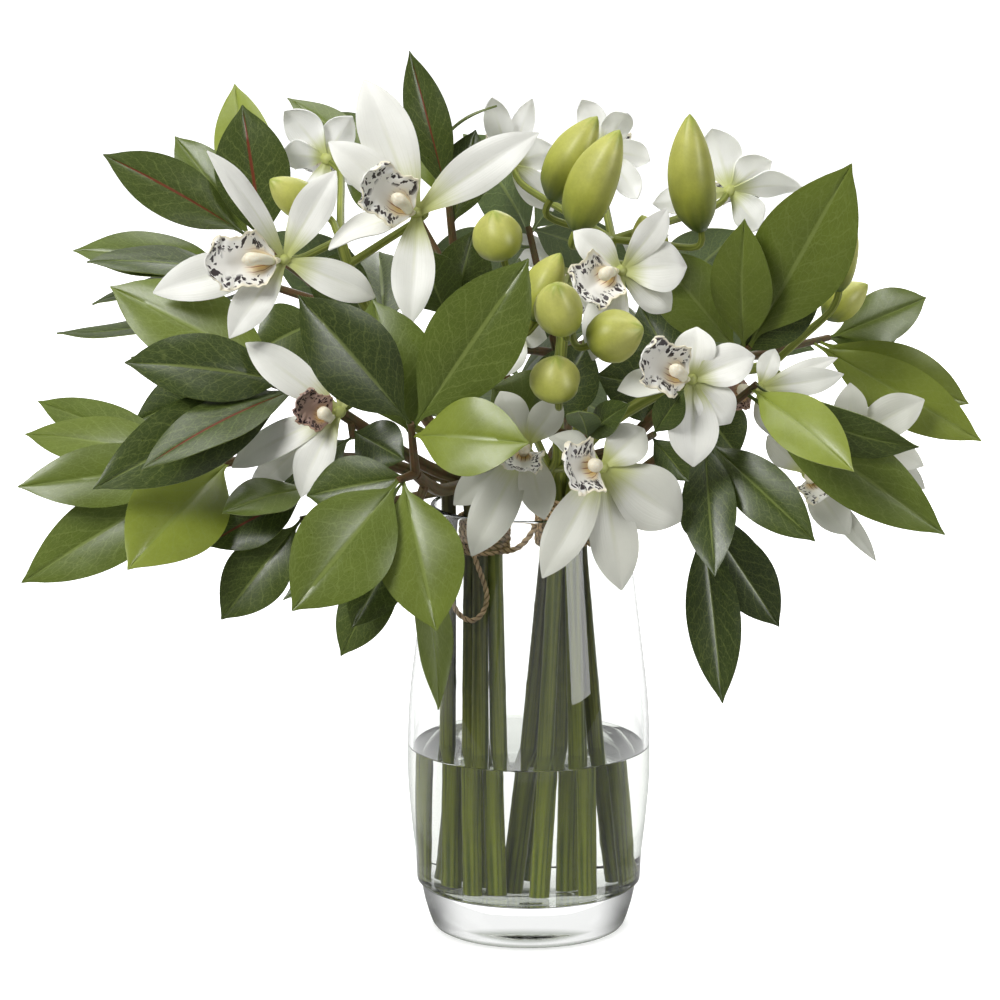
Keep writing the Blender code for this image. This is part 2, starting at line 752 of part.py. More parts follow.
def orchid_top():
    node = "orchid_stem_top"
    line = lines[node]
    c = bloom("bloom_c", (41, 301, -62), (-0.45, -0.85, 0.1), (22, 291, -84), 26, [
        ((20, 319, -64), 15, 0, 0.05),
        ((62, 329, -58), 13, 20, 0.05),
        ((71, 304, -62), 23, 0, 0.05),
        ((23, 263, -80), 19, 0, 0.05),
        ((64, 283, -60), 16, 0, 0.05),
    ])
    stalk(node, line, -2, c)
    k = bloom("bloom_k", (-8, 349, 46), (-0.3, 0.6, 0.6), (-13, 355, 72), 22, [
        ((-16, 380, 54), 13, 0, 0.05),
        ((1, 378, 56), 11, 0, 0.05),
        ((-26, 355, 44), 15, 0, 0.05),
        ((13, 355, 46), 15, 0, 0.05),
        ((5, 326, 30), 16, 0, 0.05),
    ], rear)
    stalk(node, line, -1, k)
    q = bloom("bloom_l", (33, 355, 54), (0.2, 0.6, 0.7), (36, 360, 82), 22, [
        ((24, 378, 60), 14, 0, 0.05),
        ((41, 376, 62), 14, 0, 0.05),
        ((14, 346, 52), 15, 0, 0.05),
        ((54, 351, 54), 15, 0, 0.05),
        ((49, 333, 46), 14, 0, 0.05),
    ], rear)
    stalk(node, line, -1, q)
    j = bloom("bloom_j", (89, 337, 36), (0.4, 0.7, 0.4), (95, 333, 64), 22, [
        ((54, 331, 28), 14, 30, 0.05),
        ((81, 365, 42), 20, 0, 0.05),
        ((107, 351, 40), 17, 0, 0.05),
        ((122, 339, 36), 15, 20, 0.05),
        ((103, 319, 24), 16, 0, 0.05),
    ], rear)
    stalk(node, line, -1, j)
    p = bloom("bloom_p", (20, 300, 96), (0.2, 0.9, 0.4), (20, 282, 120), 24, [
        ((-20, 318, 100), 17, 0, 0.05),
        ((20, 346, 92), 18, 0, 0.05),
        ((62, 318, 96), 17, 0, 0.05),
        ((-6, 262, 108), 17, 0, 0.05),
        ((50, 262, 106), 17, 0, 0.05),
    ], rear)
    stalk(node, line, -2, p)
    bud(node, line, -1, (10, 333, -24), (30, 370, -30), 10)
    bud(node, line, -1, (21, 319, -44), (40, 364, -54), 11)
    bud(node, line, -2, (58, 305, -30), (50, 326, -34), 8)
    bud(node, line, -1, (76, 319, -16), (71, 371, -24), 10.5)


def orchid_right():
    node = "orchid_stem_right"
    line = lines[node]
    d = bloom("bloom_d", (73, 252, -84), (-0.45, -0.85, 0.15), (51, 263, -106), 25, [
        ((75, 276, -80), 18, 0, 0.05),
        ((101, 263, -84), 19, 0, 0.05),
        ((39, 248, -80), 15, 20, 0.05),
        ((74, 212, -92), 22, 0, 0.05),
        ((91, 232, -86), 18, 0, 0.05),
    ])
    stalk(node, line, -2, d)
    h = bloom("bloom_h", (103, 248, -46), (-0.6, -0.7, -0.1), (84, 244, -60), 18, [
        ((138, 262, -48), 8, 0, 0.05),
        ((141, 254, -52), 12, 20, 0.05),
        ((131, 217, -60), 16, 0, 0.05),
        ((113, 225, -62), 15, 0, 0.05),
        ((110, 266, -44), 10, 0, 0.05),
    ])
    stalk(node, line, -1, h)
    g = bloom("bloom_g", (125, 209, -36), (0.1, -0.9, -0.2), (134, 199, -58), 18, [
        ((165, 197, -46), 18, 0, 0.05),
        ((143, 186, -60), 17, 0, 0.05),
        ((157, 169, -50), 9, 0, 0.05),
        ((107, 227, -30), 15, 0, 0.05),
        ((149, 225, -30), 16, 0, 0.05),
    ])
    stalk(node, line, -1, g)
    o = bloom("bloom_o", (144, 225, -10), (0.5, -0.8, 0.1), (154, 211, -26), 20, [
        ((177, 243, -16), 19, 0, 0.05),
        ((177, 214, -24), 15, 0, 0.05),
        ((179, 202, -6), 12, 0, 0.05),
        ((144, 250, -14), 15, 0, 0.05),
        ((127, 211, -20), 15, 0, 0.05),
    ])
    stalk(node, line, -1, o)
    bud(node, line, -1, (132, 280, -2), (151, 295, -2), 8)
    bud(node, line, -1, (138, 292, -22), (145, 321, -26), 6)


def all_stems():
    set_stems()
    main_stems()
    keep_clear_of("vase", vase())
    for part in twine_ties():
        keep_clear_of("twine_ties", part)
    keep_clear_of("twine_loop", tube(loop_line(), [1.2] * len(loop_line()), 6))
    orchid_left()
    orchid_centre()
    orchid_top()
    orchid_right()
    grow_shoots()
    rosette_stem()
    left_stem()
    low_left_stem()
    upper_left_stem()
    top_stem()
    upper_right_stem()
    right_stem()
    small_leaf_stem()
    back_stem()



# Making the meshes
def mesh_object(name, corners, faces, smooth=False):
    mesh = bpy.data.meshes.new(name)
    mesh.from_pydata([v * to_metres for v in corners], [], faces)
    shape = bmesh.new()
    shape.from_mesh(mesh)
    bmesh.ops.recalc_face_normals(shape, faces=shape.faces)
    if shape.calc_volume(signed=True) < 0:
        bmesh.ops.reverse_faces(shape, faces=shape.faces)
    shape.to_mesh(mesh)
    shape.free()
    obj = bpy.data.objects.new(name, mesh)
    bpy.context.scene.collection.objects.link(obj)
    for polygon in mesh.polygons:
        polygon.use_smooth = smooth
    return obj


def take_modifiers(obj):
    """Replace the mesh by what its modifiers give."""
    graph = bpy.context.evaluated_depsgraph_get()
    done = bpy.data.meshes.new_from_object(obj.evaluated_get(graph))
    obj.modifiers.clear()
    old = obj.data
    obj.data = done
    bpy.data.meshes.remove(old)


def tidy(obj):
    """Drop crumbs and merge the flat slivers that a union leaves on one face."""
    shape = bmesh.new()
    shape.from_mesh(obj.data)
    left = set(shape.verts)
    while left:
        island = [left.pop()]
        for corner in island:
            for edge in corner.link_edges:
                other = edge.other_vert(corner)
                if other in left:
                    left.remove(other)
                    island.append(other)
        if len(island) < 20:
            bmesh.ops.delete(shape, geom=island, context="VERTS")
    bmesh.ops.dissolve_limit(shape, angle_limit=math.radians(0.6), verts=shape.verts, edges=shape.edges)
    bmesh.ops.triangulate(shape, faces=shape.faces)
    shape.to_mesh(obj.data)
    shape.free()


def fused(name, parts, smooth=False):
    """One body from many closed solids by one union."""
    obj = mesh_object(name, parts[0][0], parts[0][1], smooth)
    if len(parts) == 1:
        return obj
    group = bpy.data.collections.new(name + "_parts")
    bpy.context.scene.collection.children.link(group)
    pieces = []
    for k, part in enumerate(parts[1:]):
        piece = mesh_object("%s_%02d" % (name, k), part[0], part[1], smooth)
        bpy.context.scene.collection.objects.unlink(piece)
        group.objects.link(piece)
        pieces.append(piece)
    join = obj.modifiers.new("join", "BOOLEAN")
    join.operation = "UNION"
    join.operand_type = "COLLECTION"
    join.collection = group
    join.solver = union_solver
    take_modifiers(obj)
    for piece in pieces:
        bpy.data.objects.remove(piece)
    bpy.data.collections.remove(group)
    tidy(obj)
    return obj


union_solver = "MANIFOLD"
colours = {
    "glass": ((0.93, 0.97, 0.96), 0.03),
    "water": ((0.88, 0.95, 0.93), 0.02),
    "leaf": ((0.09, 0.17, 0.04), 0.38),
    "orchid_green": ((0.42, 0.52, 0.12), 0.45),
    "petal": ((0.90, 0.90, 0.86), 0.5),
    "lip": ((0.86, 0.80, 0.78), 0.5),
    "twine": ((0.45, 0.30, 0.16), 0.9),
}


def paint(obj, slot):
    """A material of its own for each piece, in the colour of its slot."""
    colour, rough = colours[slot]
    material = bpy.data.materials.new(obj.name + "_" + slot)
    material.use_nodes = True
    shader = material.node_tree.nodes["Principled BSDF"]
    shader.inputs["Base Color"].default_value = (colour[0], colour[1], colour[2], 1)
    shader.inputs["Roughness"].default_value = rough
    if slot in ("glass", "water"):
        shader.inputs["Transmission Weight"].default_value = 0.95
        shader.inputs["IOR"].default_value = 1.5 if slot == "glass" else 1.33
    obj.data.materials.clear()
    obj.data.materials.append(material)


def drill(obj, cutters):
    """Plain holes through the water, one for each stem."""
    group = bpy.data.collections.new("holes")
    bpy.context.scene.collection.children.link(group)
    pieces = []
    for k, part in enumerate(cutters):
        piece = mesh_object("hole_%02d" % k, part[0], part[1])
        bpy.context.scene.collection.objects.unlink(piece)
        group.objects.link(piece)
        pieces.append(piece)
    cut = obj.modifiers.new("holes", "BOOLEAN")
    cut.operation = "DIFFERENCE"
    cut.operand_type = "COLLECTION"
    cut.collection = group
    cut.solver = union_solver
    take_modifiers(obj)
    for piece in pieces:
        bpy.data.objects.remove(piece)
    bpy.data.collections.remove(group)


def stem_hole(key):
    foot = foot_of(key)
    tie = ties[key]
    low = tie - Vector((0, 0, 14))
    up = (low - foot) / (low.z - foot.z)
    radius = stem_radius + 0.4
    return tube([foot - up * 3, foot + up * 80], [radius, radius], 6)


def sleeve(centre, inner, ridges, cord, sides):
    """Turns of twine pressed side by side round a bundle: a ring with a rounded ridge for each turn."""
    bottom = centre.z - ridges * cord
    outline = [(inner, bottom + 0.5)]
    for k in range(ridges):
        low = bottom + 2 * k * cord
        outline.append((inner + 1.2, low + 0.2))
        outline.append((inner + 2.2, low + cord))
    outline.append((inner + 1.2, bottom + 2 * ridges * cord - 0.2))
    outline.append((inner, bottom + 2 * ridges * cord - 0.5))
    corners = []
    faces = []
    count = len(outline)
    for radius, height in outline:
        for k in range(sides):
            angle = 2 * math.pi * k / sides
            x = centre.x + radius * math.cos(angle)
            y = centre.y + radius * math.sin(angle)
            corners.append(Vector((x, y, height)))
    for i in range(count):
        j = (i + 1) % count
        for k in range(sides):
            n = (k + 1) % sides
            faces.append((i * sides + k, i * sides + n, j * sides + n, j * sides + k))
    return closed(corners, faces)


def twine_ties():
    """The two wrapped ties and the strand that runs from one to the other."""
    strand = [Vector((-13, -14, 176)), Vector((-5, -19, 179)), Vector((2, -19, 186)), Vector((6, -13.5, 196))]
    parts = [sleeve(left_tie, 5.9 + stem_radius + gap, 4, 2.5, 12)]
    parts.append(sleeve(right_tie, 7.1 + stem_radius + gap, 5, 2.5, 12))
    parts.append(tube(way(strand, 2), [1.3] * 7, 6))
    return parts


loop_route = [(-24.6, -17.5, 176), (-22.6, -19.2, 170.4), (-20.2, -20.2, 164), (-18.6, -20.8, 157)]
loop_route += [(-20.4, -20.8, 150), (-25, -20.8, 146), (-30, -20.6, 148), (-33.6, -20, 153.5)]
loop_route += [(-34.6, -19, 160), (-33.4, -17.4, 166), (-31.6, -15.4, 171.4), (-30, -13.9, 176)]


def loop_line():
    return way([Vector(spot) for spot in loop_route], 2)


def twine_loop():
    """The loose loop below the left tie, a round cord along its route."""
    cord = bpy.data.curves.new("twine_loop", "CURVE")
    cord.dimensions = "3D"
    cord.bevel_depth = 1.2 * to_metres
    cord.bevel_resolution = 2
    cord.use_fill_caps = True
    spline = cord.splines.new("POLY")
    route = loop_line()
    spline.points.add(len(route) - 1)
    for point, spot in zip(spline.points, route):
        point.co = (spot.x * to_metres, spot.y * to_metres, spot.z * to_metres, 1)
    guide = bpy.data.objects.new("loop_route", cord)
    bpy.context.scene.collection.objects.link(guide)
    graph = bpy.context.evaluated_depsgraph_get()
    mesh = bpy.data.meshes.new_from_object(guide.evaluated_get(graph))
    bpy.data.objects.remove(guide)
    shape = bmesh.new()
    shape.from_mesh(mesh)
    bmesh.ops.remove_doubles(shape, verts=shape.verts, dist=0.00001)
    shape.to_mesh(mesh)
    shape.free()
    for polygon in mesh.polygons:
        polygon.use_smooth = True
    obj = bpy.data.objects.new("twine_loop", mesh)
    bpy.context.scene.collection.objects.link(obj)
    return obj


def build():
    for obj in list(bpy.data.objects):
        bpy.data.objects.remove(obj)
    all_stems()
    open_blooms()
    grow_leaves()
    for name in sorted(solids):
        obj = fused(name, solids[name])
        if "leafy" in name:
            paint(obj, "leaf")
        elif "orchid" in name:
            paint(obj, "orchid_green")
        elif "lip" in name:
            paint(obj, "lip")
        else:
            paint(obj, "petal")
    solid = vase()
    paint(mesh_object("vase", solid[0], solid[1], True), "glass")
    solid = water_body()
    water = mesh_object("water", solid[0], solid[1], True)
    drill(water, [stem_hole(key) for key in feet])
    tidy(water)
    paint(water, "water")
    paint(fused("twine_ties", twine_ties(), False), "twine")
    paint(twine_loop(), "twine")


build()
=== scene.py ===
import math
import random

import bmesh
import bpy
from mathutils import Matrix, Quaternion, Vector, noise
from mathutils.bvhtree import BVHTree


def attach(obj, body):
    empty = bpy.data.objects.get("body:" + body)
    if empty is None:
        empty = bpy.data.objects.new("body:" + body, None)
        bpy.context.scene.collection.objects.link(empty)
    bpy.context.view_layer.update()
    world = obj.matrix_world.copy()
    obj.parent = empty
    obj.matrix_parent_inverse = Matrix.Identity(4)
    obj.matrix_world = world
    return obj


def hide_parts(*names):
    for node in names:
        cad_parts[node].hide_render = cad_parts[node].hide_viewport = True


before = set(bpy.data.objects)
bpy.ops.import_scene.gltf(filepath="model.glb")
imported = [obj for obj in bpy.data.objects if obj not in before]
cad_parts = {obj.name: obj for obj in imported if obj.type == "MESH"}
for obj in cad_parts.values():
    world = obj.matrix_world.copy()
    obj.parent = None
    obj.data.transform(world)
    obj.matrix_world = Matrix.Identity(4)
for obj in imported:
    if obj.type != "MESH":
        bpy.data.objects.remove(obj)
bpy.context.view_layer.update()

mm = 0.001  # the drawing is in millimetres, and each finished mesh is in metres

# Camera, floor, lights
camera = dict(place=(-0.013, -2.0, 0.585), target=(-0.013, 0, 0.197), lens=163)
studio = dict(
    floor=(0.9, 0.9, 0.9),
    floorSize=24,
    floorBack=11.6,  # the middle of the paper is this far behind the vase
    sky=0.41,
    glow=0.5,
    aim=(0, 0, 0.22),
    key=dict(place=(-1.5, -1.7, 1.9), size=(1.2, 1.2), power=62),
    fill=dict(place=(1.9, -1.4, 0.9), size=(0.9, 1.3), power=9),
    top=dict(place=(0.1, 0.3, 2.2), size=(1.6, 1.2), power=19),
    back=dict(place=(0.6, 1.9, 1.2), size=(1.5, 1.2), power=20),
    strip=dict(place=(1.75, -1.4, 0.66), size=(0.86, 1.3), power=21),
)


# Shader building blocks
def addNode(tree, kind, inputs=None, **settings):
    made = tree.nodes.new(kind)
    for name, value in settings.items():
        setattr(made, name, value)
    for name, value in (inputs or {}).items():
        if isinstance(value, bpy.types.NodeSocket):
            tree.links.new(value, made.inputs[name])
        else:
            made.inputs[name].default_value = value
    return made


def calc(tree, operation, *values):
    return addNode(tree, "ShaderNodeMath", dict(enumerate(values)), operation=operation).outputs[0]


# a soft step from one range of values to another
def soften(tree, value, low, high, toLow=0.0, toHigh=1.0):
    inputs = {"Value": value, "From Min": low, "From Max": high, "To Min": toLow, "To Max": toHigh}
    return addNode(tree, "ShaderNodeMapRange", inputs, interpolation_type="SMOOTHSTEP").outputs[0]


def blendColour(tree, share, first, second, way="MIX"):
    inputs = {0: share, 6: first, 7: second}
    return addNode(tree, "ShaderNodeMix", inputs, data_type="RGBA", blend_type=way).outputs[2]


def vectorCalc(tree, operation, first, second, output="Vector"):
    return addNode(tree, "ShaderNodeVectorMath", {0: first, 1: second}, operation=operation).outputs[output]


def noiseOf(tree, spot, scale, detail):
    inputs = {"Vector": spot, "Scale": scale, "Detail": detail}
    return addNode(tree, "ShaderNodeTexNoise", inputs).outputs[0]


# distance to the edges of a net of cells
def cellEdges(tree, spot, scale):
    inputs = {"Vector": spot, "Scale": scale}
    return addNode(tree, "ShaderNodeTexVoronoi", inputs, feature="DISTANCE_TO_EDGE").outputs[0]


def aimAt(obj, target):
    obj.rotation_euler = (Vector(target) - obj.location).to_track_quat("-Z", "Y").to_euler()


# camera rays, straight-through rays and reflections see the room differently
def raysOf(tree):
    rays = addNode(tree, "ShaderNodeLightPath").outputs
    through = calc(tree, "SUBTRACT", rays["Is Transmission Ray"], rays["Diffuse Depth"])
    straight = calc(tree, "MAXIMUM", rays["Is Camera Ray"], calc(tree, "MAXIMUM", through, 0.0))
    return straight, rays["Is Glossy Ray"]


# white paper, with a dark room in what the glass reflects of it
def floorPaper():
    paper = bpy.data.materials.new("floorPaper")
    paper.use_nodes = True
    tree = paper.node_tree
    shader = tree.nodes["Principled BSDF"]
    shader.inputs["Roughness"].default_value = 0.9
    shader.inputs["Specular IOR Level"].default_value = 0.1
    straight, glossy = raysOf(tree)
    spot = addNode(tree, "ShaderNodeTexCoord").outputs["Object"]
    depth = addNode(tree, "ShaderNodeSeparateXYZ", {0: spot}).outputs[1]
    back = studio["floorBack"]
    near = soften(tree, depth, 0.1 - back, -0.06 - back, 0.3, 1.0)
    shadeShare = calc(tree, "MULTIPLY", near, glossy)
    colour = blendColour(tree, shadeShare, studio["floor"] + (1,), (0.04, 0.04, 0.04, 1))
    tree.links.new(colour, shader.inputs["Base Color"])
    away = vectorCalc(tree, "DISTANCE", (0, -back, 0), spot, "Value")
    far = soften(tree, away, 0.3, 1.2, studio["glow"], 1.0)
    far = calc(tree, "MULTIPLY", far, soften(tree, away, 0.036, 0.052))  # no glow under the vase: a painted contact shadow
    shader.inputs["Emission Color"].default_value = (1, 1, 1, 1)
    tree.links.new(calc(tree, "MULTIPLY", straight, far), shader.inputs["Emission Strength"])
    return paper


# an even room, dim behind the camera and dark at the sides for what the glass reflects
def roomLight(tree):
    straight, glossy = raysOf(tree)
    looked = addNode(tree, "ShaderNodeTexCoord").outputs["Generated"]
    parts = addNode(tree, "ShaderNodeSeparateXYZ", {0: looked})
    aside = soften(tree, calc(tree, "ABSOLUTE", parts.outputs[0]), 0.45, 0.9)
    low = soften(tree, calc(tree, "ABSOLUTE", parts.outputs[2]), 0.25, 0.6, 1, 0)
    dark = calc(tree, "MULTIPLY", calc(tree, "MULTIPLY", aside, low), calc(tree, "MULTIPLY", glossy, 0.8))
    near = soften(tree, parts.outputs[1], -0.6, 0.15, 0.3, 1.0)
    level = soften(tree, straight, 0.0, 1.0, calc(tree, "MULTIPLY", near, studio["sky"]), 1.0)
    level = calc(tree, "MULTIPLY", level, calc(tree, "SUBTRACT", 1.0, dark))
    tree.links.new(level, tree.nodes["Background"].inputs["Strength"])
    tree.nodes["Background"].inputs["Color"].default_value = (1, 1, 1, 1)


def setStudio():
    bpy.ops.object.camera_add(location=camera["place"])
    eyePiece = bpy.context.object
    eyePiece.data.lens = camera["lens"]
    eyePiece.data.clip_end = 50
    aimAt(eyePiece, camera["target"])
    bpy.context.scene.camera = eyePiece
    bpy.ops.mesh.primitive_plane_add(size=studio["floorSize"], location=(0, studio["floorBack"], -0.0003))
    floor = bpy.context.object
    floor.name = "floor"
    floor.data.materials.append(floorPaper())
    for name in ("key", "fill", "top", "back", "strip"):
        lamp = studio[name]
        bpy.ops.object.light_add(type="AREA", location=lamp["place"])
        light = bpy.context.object
        light.name = name
        light.data.shape = "RECTANGLE"
        light.data.size, light.data.size_y = lamp["size"]
        light.data.energy = lamp["power"]
        aimAt(light, studio["aim"])
        light.visible_diffuse = name != "strip"  # the strip is only seen as a shine
        light.visible_transmission = False  # no lamp shows through the thick glass base
    world = bpy.data.worlds.new("studio")
    world.use_nodes = True
    roomLight(world.node_tree)
    bpy.context.scene.world = world
    bpy.context.scene.view_settings.view_transform = "Standard"
    print("studio set")


# Sizes of the arrangement, in millimetres, as the frame has them
vaseHeight = 196.0
vaseWall = 2.4
vaseFloor = 20.0
waterTop = 84.0
stemRadius = 3.3
leafThickness = 0.75
tepalThickness = 0.8
lipThickness = 0.9
stoutBase = 2.4  # a blade's base is this many times as thick as its middle
leftRing = 5.9  # from the middle of a bundle to its outer stems
rightRing = 7.1
hubRadius = 3.4
gap = 0.35
eye = Vector((-13.0, -2000.0, 585.0))
leftTie = Vector((-20.0, -5.0, 183.0))
rightTie = Vector((15.5, -5.0, 189.0))
front = Vector((0.0, -0.94, 0.34))
rear = Vector((0.0, 0.94, 0.34))

# plain outlines, only for keeping blades apart: place along, half width, thickness
leafOutline = [(0.1, 0.10, 2.2), (0.32, 0.76, 1.2), (0.56, 1.0, 1.0), (0.8, 0.68, 1.0)]
shortTepalOutline = [(0.3, 0.78, 1.3), (0.72, 0.94, 1.0)]
shortLeafOutline = [(0.12, 0.14, 2.0), (0.38, 0.9, 1.0), (0.7, 0.88, 1.0)]
tepalOutline = [(0.24, 0.64, 1.4), (0.56, 1.0, 1.0), (0.85, 0.68, 1.0)]
lipOutline = [(0.3, 0.86, 1.2), (0.55, 0.64, 1.0), (0.82, 1.0, 1.0)]

taken = []
rods = []
leaves = []
tepals = []
lips = []
buds = []
hearts = []


# the point at this depth that covers (x, height) on the vase's axis plane from the front viewpoint
def seen(x, height, depth):
    flat = Vector((x, 0.0, height))
    return eye + (flat - eye) * ((depth - eye.y) / -eye.y)


def place(spot):
    return seen(spot[0], spot[1], spot[2])


# split every face into triangles
def closed(corners, faces):
    triangles = []
    for face in faces:
        for k in range(1, len(face) - 1):
            triangles.append((face[0], face[k], face[k + 1]))
    return corners, triangles


def tube(points, radii, sides=6):
    corners = []
    faces = []
    last = len(points) - 1
    across = (points[1] - points[0]).normalized().orthogonal().normalized()
    for i, point in enumerate(points):
        ahead = points[min(i + 1, last)] - points[max(i - 1, 0)]
        ahead.normalize()
        across = (across - ahead * across.dot(ahead)).normalized()
        other = ahead.cross(across)
        for k in range(sides):
            angle = 2 * math.pi * k / sides
            corners.append(point + (across * math.cos(angle) + other * math.sin(angle)) * radii[i])
    for i in range(last):
        for k in range(sides):
            a = i * sides + k
            b = i * sides + (k + 1) % sides
            faces.append((a, b, b + sides, a + sides))
    faces.append(tuple(reversed(range(sides))))
    faces.append(tuple(range(last * sides, (last + 1) * sides)))
    return closed(corners, faces)


# a body of revolution round the vertical axis from a closed outline that starts and ends on it
def turned(profile, sides):
    corners = [Vector((0, 0, profile[0][1]))]
    faces = []
    rings = profile[1:-1]
    for radius, height in rings:
        for k in range(sides):
            angle = 2 * math.pi * k / sides
            corners.append(Vector((radius * math.cos(angle), radius * math.sin(angle), height)))
    corners.append(Vector((0, 0, profile[-1][1])))
    end = len(corners) - 1
    last = 1 + (len(rings) - 1) * sides
    for k in range(sides):
        n = (k + 1) % sides
        faces.append((0, 1 + n, 1 + k))
        faces.append((end, last + k, last + n))
        for i in range(len(rings) - 1):
            a = 1 + i * sides
            faces.append((a + k, a + n, a + sides + n, a + sides + k))
    return closed(corners, faces)


# the small middle of a bloom: eight sides, with a corner ahead and a corner behind
def heart(centre, radius, aim):
    side = aim.orthogonal().normalized()
    up = aim.cross(side)
    corners = [centre + out * radius for out in (side, -side, up, -up, aim, -aim)]
    faces = [(0, 2, 4), (2, 1, 4), (1, 3, 4), (3, 0, 4), (2, 0, 5), (1, 2, 5), (3, 1, 5), (0, 3, 5)]
    return corners, faces


# the way a blade's upper face looks: square to its axis, nearest to look, then rolled
def turnedFace(axis, look, roll):
    if abs(axis.dot(look)) > 0.96:
        look = Vector((0.0, 0.0, 1.0))
    face = (look - axis * axis.dot(look)).normalized()
    return Quaternion(axis, math.radians(roll)) @ face


# a leaf, sepal, petal or lip: a thin folded plate on a bowed centre line
def blade(shape, grow=0.0, first=0):
    base, tip, width, look, roll, arch, fold, outline, thick = shape
    axis = tip - base
    length = axis.length
    axis = axis / length
    face = turnedFace(axis, look, roll)
    side = axis.cross(face)
    middle = (base + tip) / 2 + face * (2 * arch * length)
    corners = []
    rows = []
    stations = [(t, share, stout) for t, share, stout in outline if t >= first]
    if first == 0:
        along = (middle - base).normalized()
        rise = side.cross(along) * (thick * stoutBase / 2 + grow)
        corners += [base + rise, base - rise]
        rows.append([0])
    for t, share, stout in stations:
        centre = base * (1 - t) ** 2 + middle * (2 * t * (1 - t)) + tip * t * t
        along = ((middle - base) * (1 - t) + (tip - middle) * t).normalized()
        up = side.cross(along)
        half = max(width / 2 * share, 1.1) + grow
        lift = up * (fold * half)
        rise = up * (thick * stout / 2 + grow)
        row = []
        for k in ((-1, 0, 1) if fold and share > 0.2 else (-1, 1)):
            spot = centre + side * (half * k) + lift * abs(k)
            row.append(len(corners))
            corners.append(spot + rise)
            corners.append(spot - rise)
        rows.append(row)
    along = (tip - middle).normalized()
    rise = side.cross(along) * (thick / 2 + grow)
    rows.append([len(corners)])
    corners += [tip + along * grow + rise, tip + along * grow - rise]
    return corners, bladeFaces(rows)


# both faces and the rim between rows of one, two or three places across the blade
def bladeFaces(rows):
    faces = []
    for row, after in zip(rows, rows[1:]):
        low = 0
        high = 0
        while low < len(row) - 1 or high < len(after) - 1:
            behind = low == len(row) - 1 or high * len(row) <= low * len(after)
            if high < len(after) - 1 and behind:
                corner = (row[low], after[high + 1], after[high])
                high += 1
            else:
                corner = (row[low], row[low + 1], after[high])
                low += 1
            faces.append(corner)
            faces.append((corner[1] + 1, corner[0] + 1, corner[2] + 1))
        a, c, d, f = row[0], row[-1], after[0], after[-1]
        faces += [(a + 1, a, d), (a + 1, d, d + 1), (c, c + 1, f + 1), (c, f + 1, f)]
    for row in (rows[0], rows[-1]):
        for a, b in zip(row, row[1:]):
            faces += [(a, a + 1, b + 1), (a, b + 1, b)]
    return faces


def bounds(corners):
    low = [min(v[k] for v in corners) for k in range(3)]
    high = [max(v[k] for v in corners) for k in range(3)]
    return low, high


def treeOf(solid):
    return BVHTree.FromPolygons(solid[0], solid[1], all_triangles=True)


def touches(solid, item):
    low, high = bounds(solid[0])
    if any(low[k] > item["high"][k] or high[k] < item["low"][k] for k in range(3)):
        return False
    return bool(treeOf(solid).overlap(item["tree"]))


def keep(node, solid, outer=None):
    low, high = bounds(solid[0])
    item = {"node": node, "low": low, "high": high, "tree": treeOf(solid), "outer": None}
    if outer is not None:
        low, high = bounds(outer[0])
        item["outer"] = {"low": low, "high": high, "tree": treeOf(outer)}
    taken.append(item)


def clear(node, whole, outer):
    for item in taken:
        if item["node"] != node:
            if touches(whole, item):
                return False
        elif item["outer"] is not None and outer is not None:
            if touches(outer, item["outer"]):
                return False
    return True


# small turns, the smallest first, tried until a blade is clear of what is already there
turns = []
for size in (1.0, 0.9, 0.8, 0.66):
    for pitch in (0, -7, 7, -14, 14, -22, 22, -32, 32, -44, 44):
        for yaw in (0, 8, -8, 17, -17):
            for twist in (0, 18, -18, 40, -40):
                cost = abs(pitch) + 1.6 * abs(yaw) + 0.5 * abs(twist) + 160 * (1 - size)
                turns.append((cost, pitch, yaw, twist, size))
turns.sort(key=lambda turn: (turn[0], turn[1], turn[2], turn[3]))


# bend a blade about its base by the smallest turn that keeps it clear, then fuse it in
def fit(node, shape):
    base, tip, width, look, roll, arch, fold, outline, thick = shape
    face = turnedFace((tip - base).normalized(), look, 0)
    side = (tip - base).normalized().cross(face)
    for cost, pitch, yaw, twist, size in turns:
        reach = Quaternion(side, math.radians(pitch)) @ (tip - base)
        reach = Quaternion(face, math.radians(yaw)) @ reach
        tried = (base, base + reach * size, width * size, look, roll + twist, arch, fold, outline, thick)
        whole = blade(tried, gap)
        if clear(node, whole, blade(tried, gap, 0.3)):
            keep(node, blade(tried), blade(tried, 0.0, 0.3))
            return tried
    return None


# a smooth line through the points
def way(points, steps=4):
    line = []
    last = len(points) - 1
    for i in range(last):
        p0 = points[max(i - 1, 0)]
        p1 = points[i]
        p2 = points[i + 1]
        p3 = points[min(i + 2, last)]
        for k in range(steps):
            t = k / steps
            a = p1 * 2 + (p2 - p0) * t
            b = (p0 * 2 - p1 * 5 + p2 * 4 - p3) * (t * t)
            c = (p1 * 3 - p0 - p2 * 3 + p3) * (t ** 3)
            line.append((a + b + c) / 2)
    line.append(points[-1].copy())
    return line


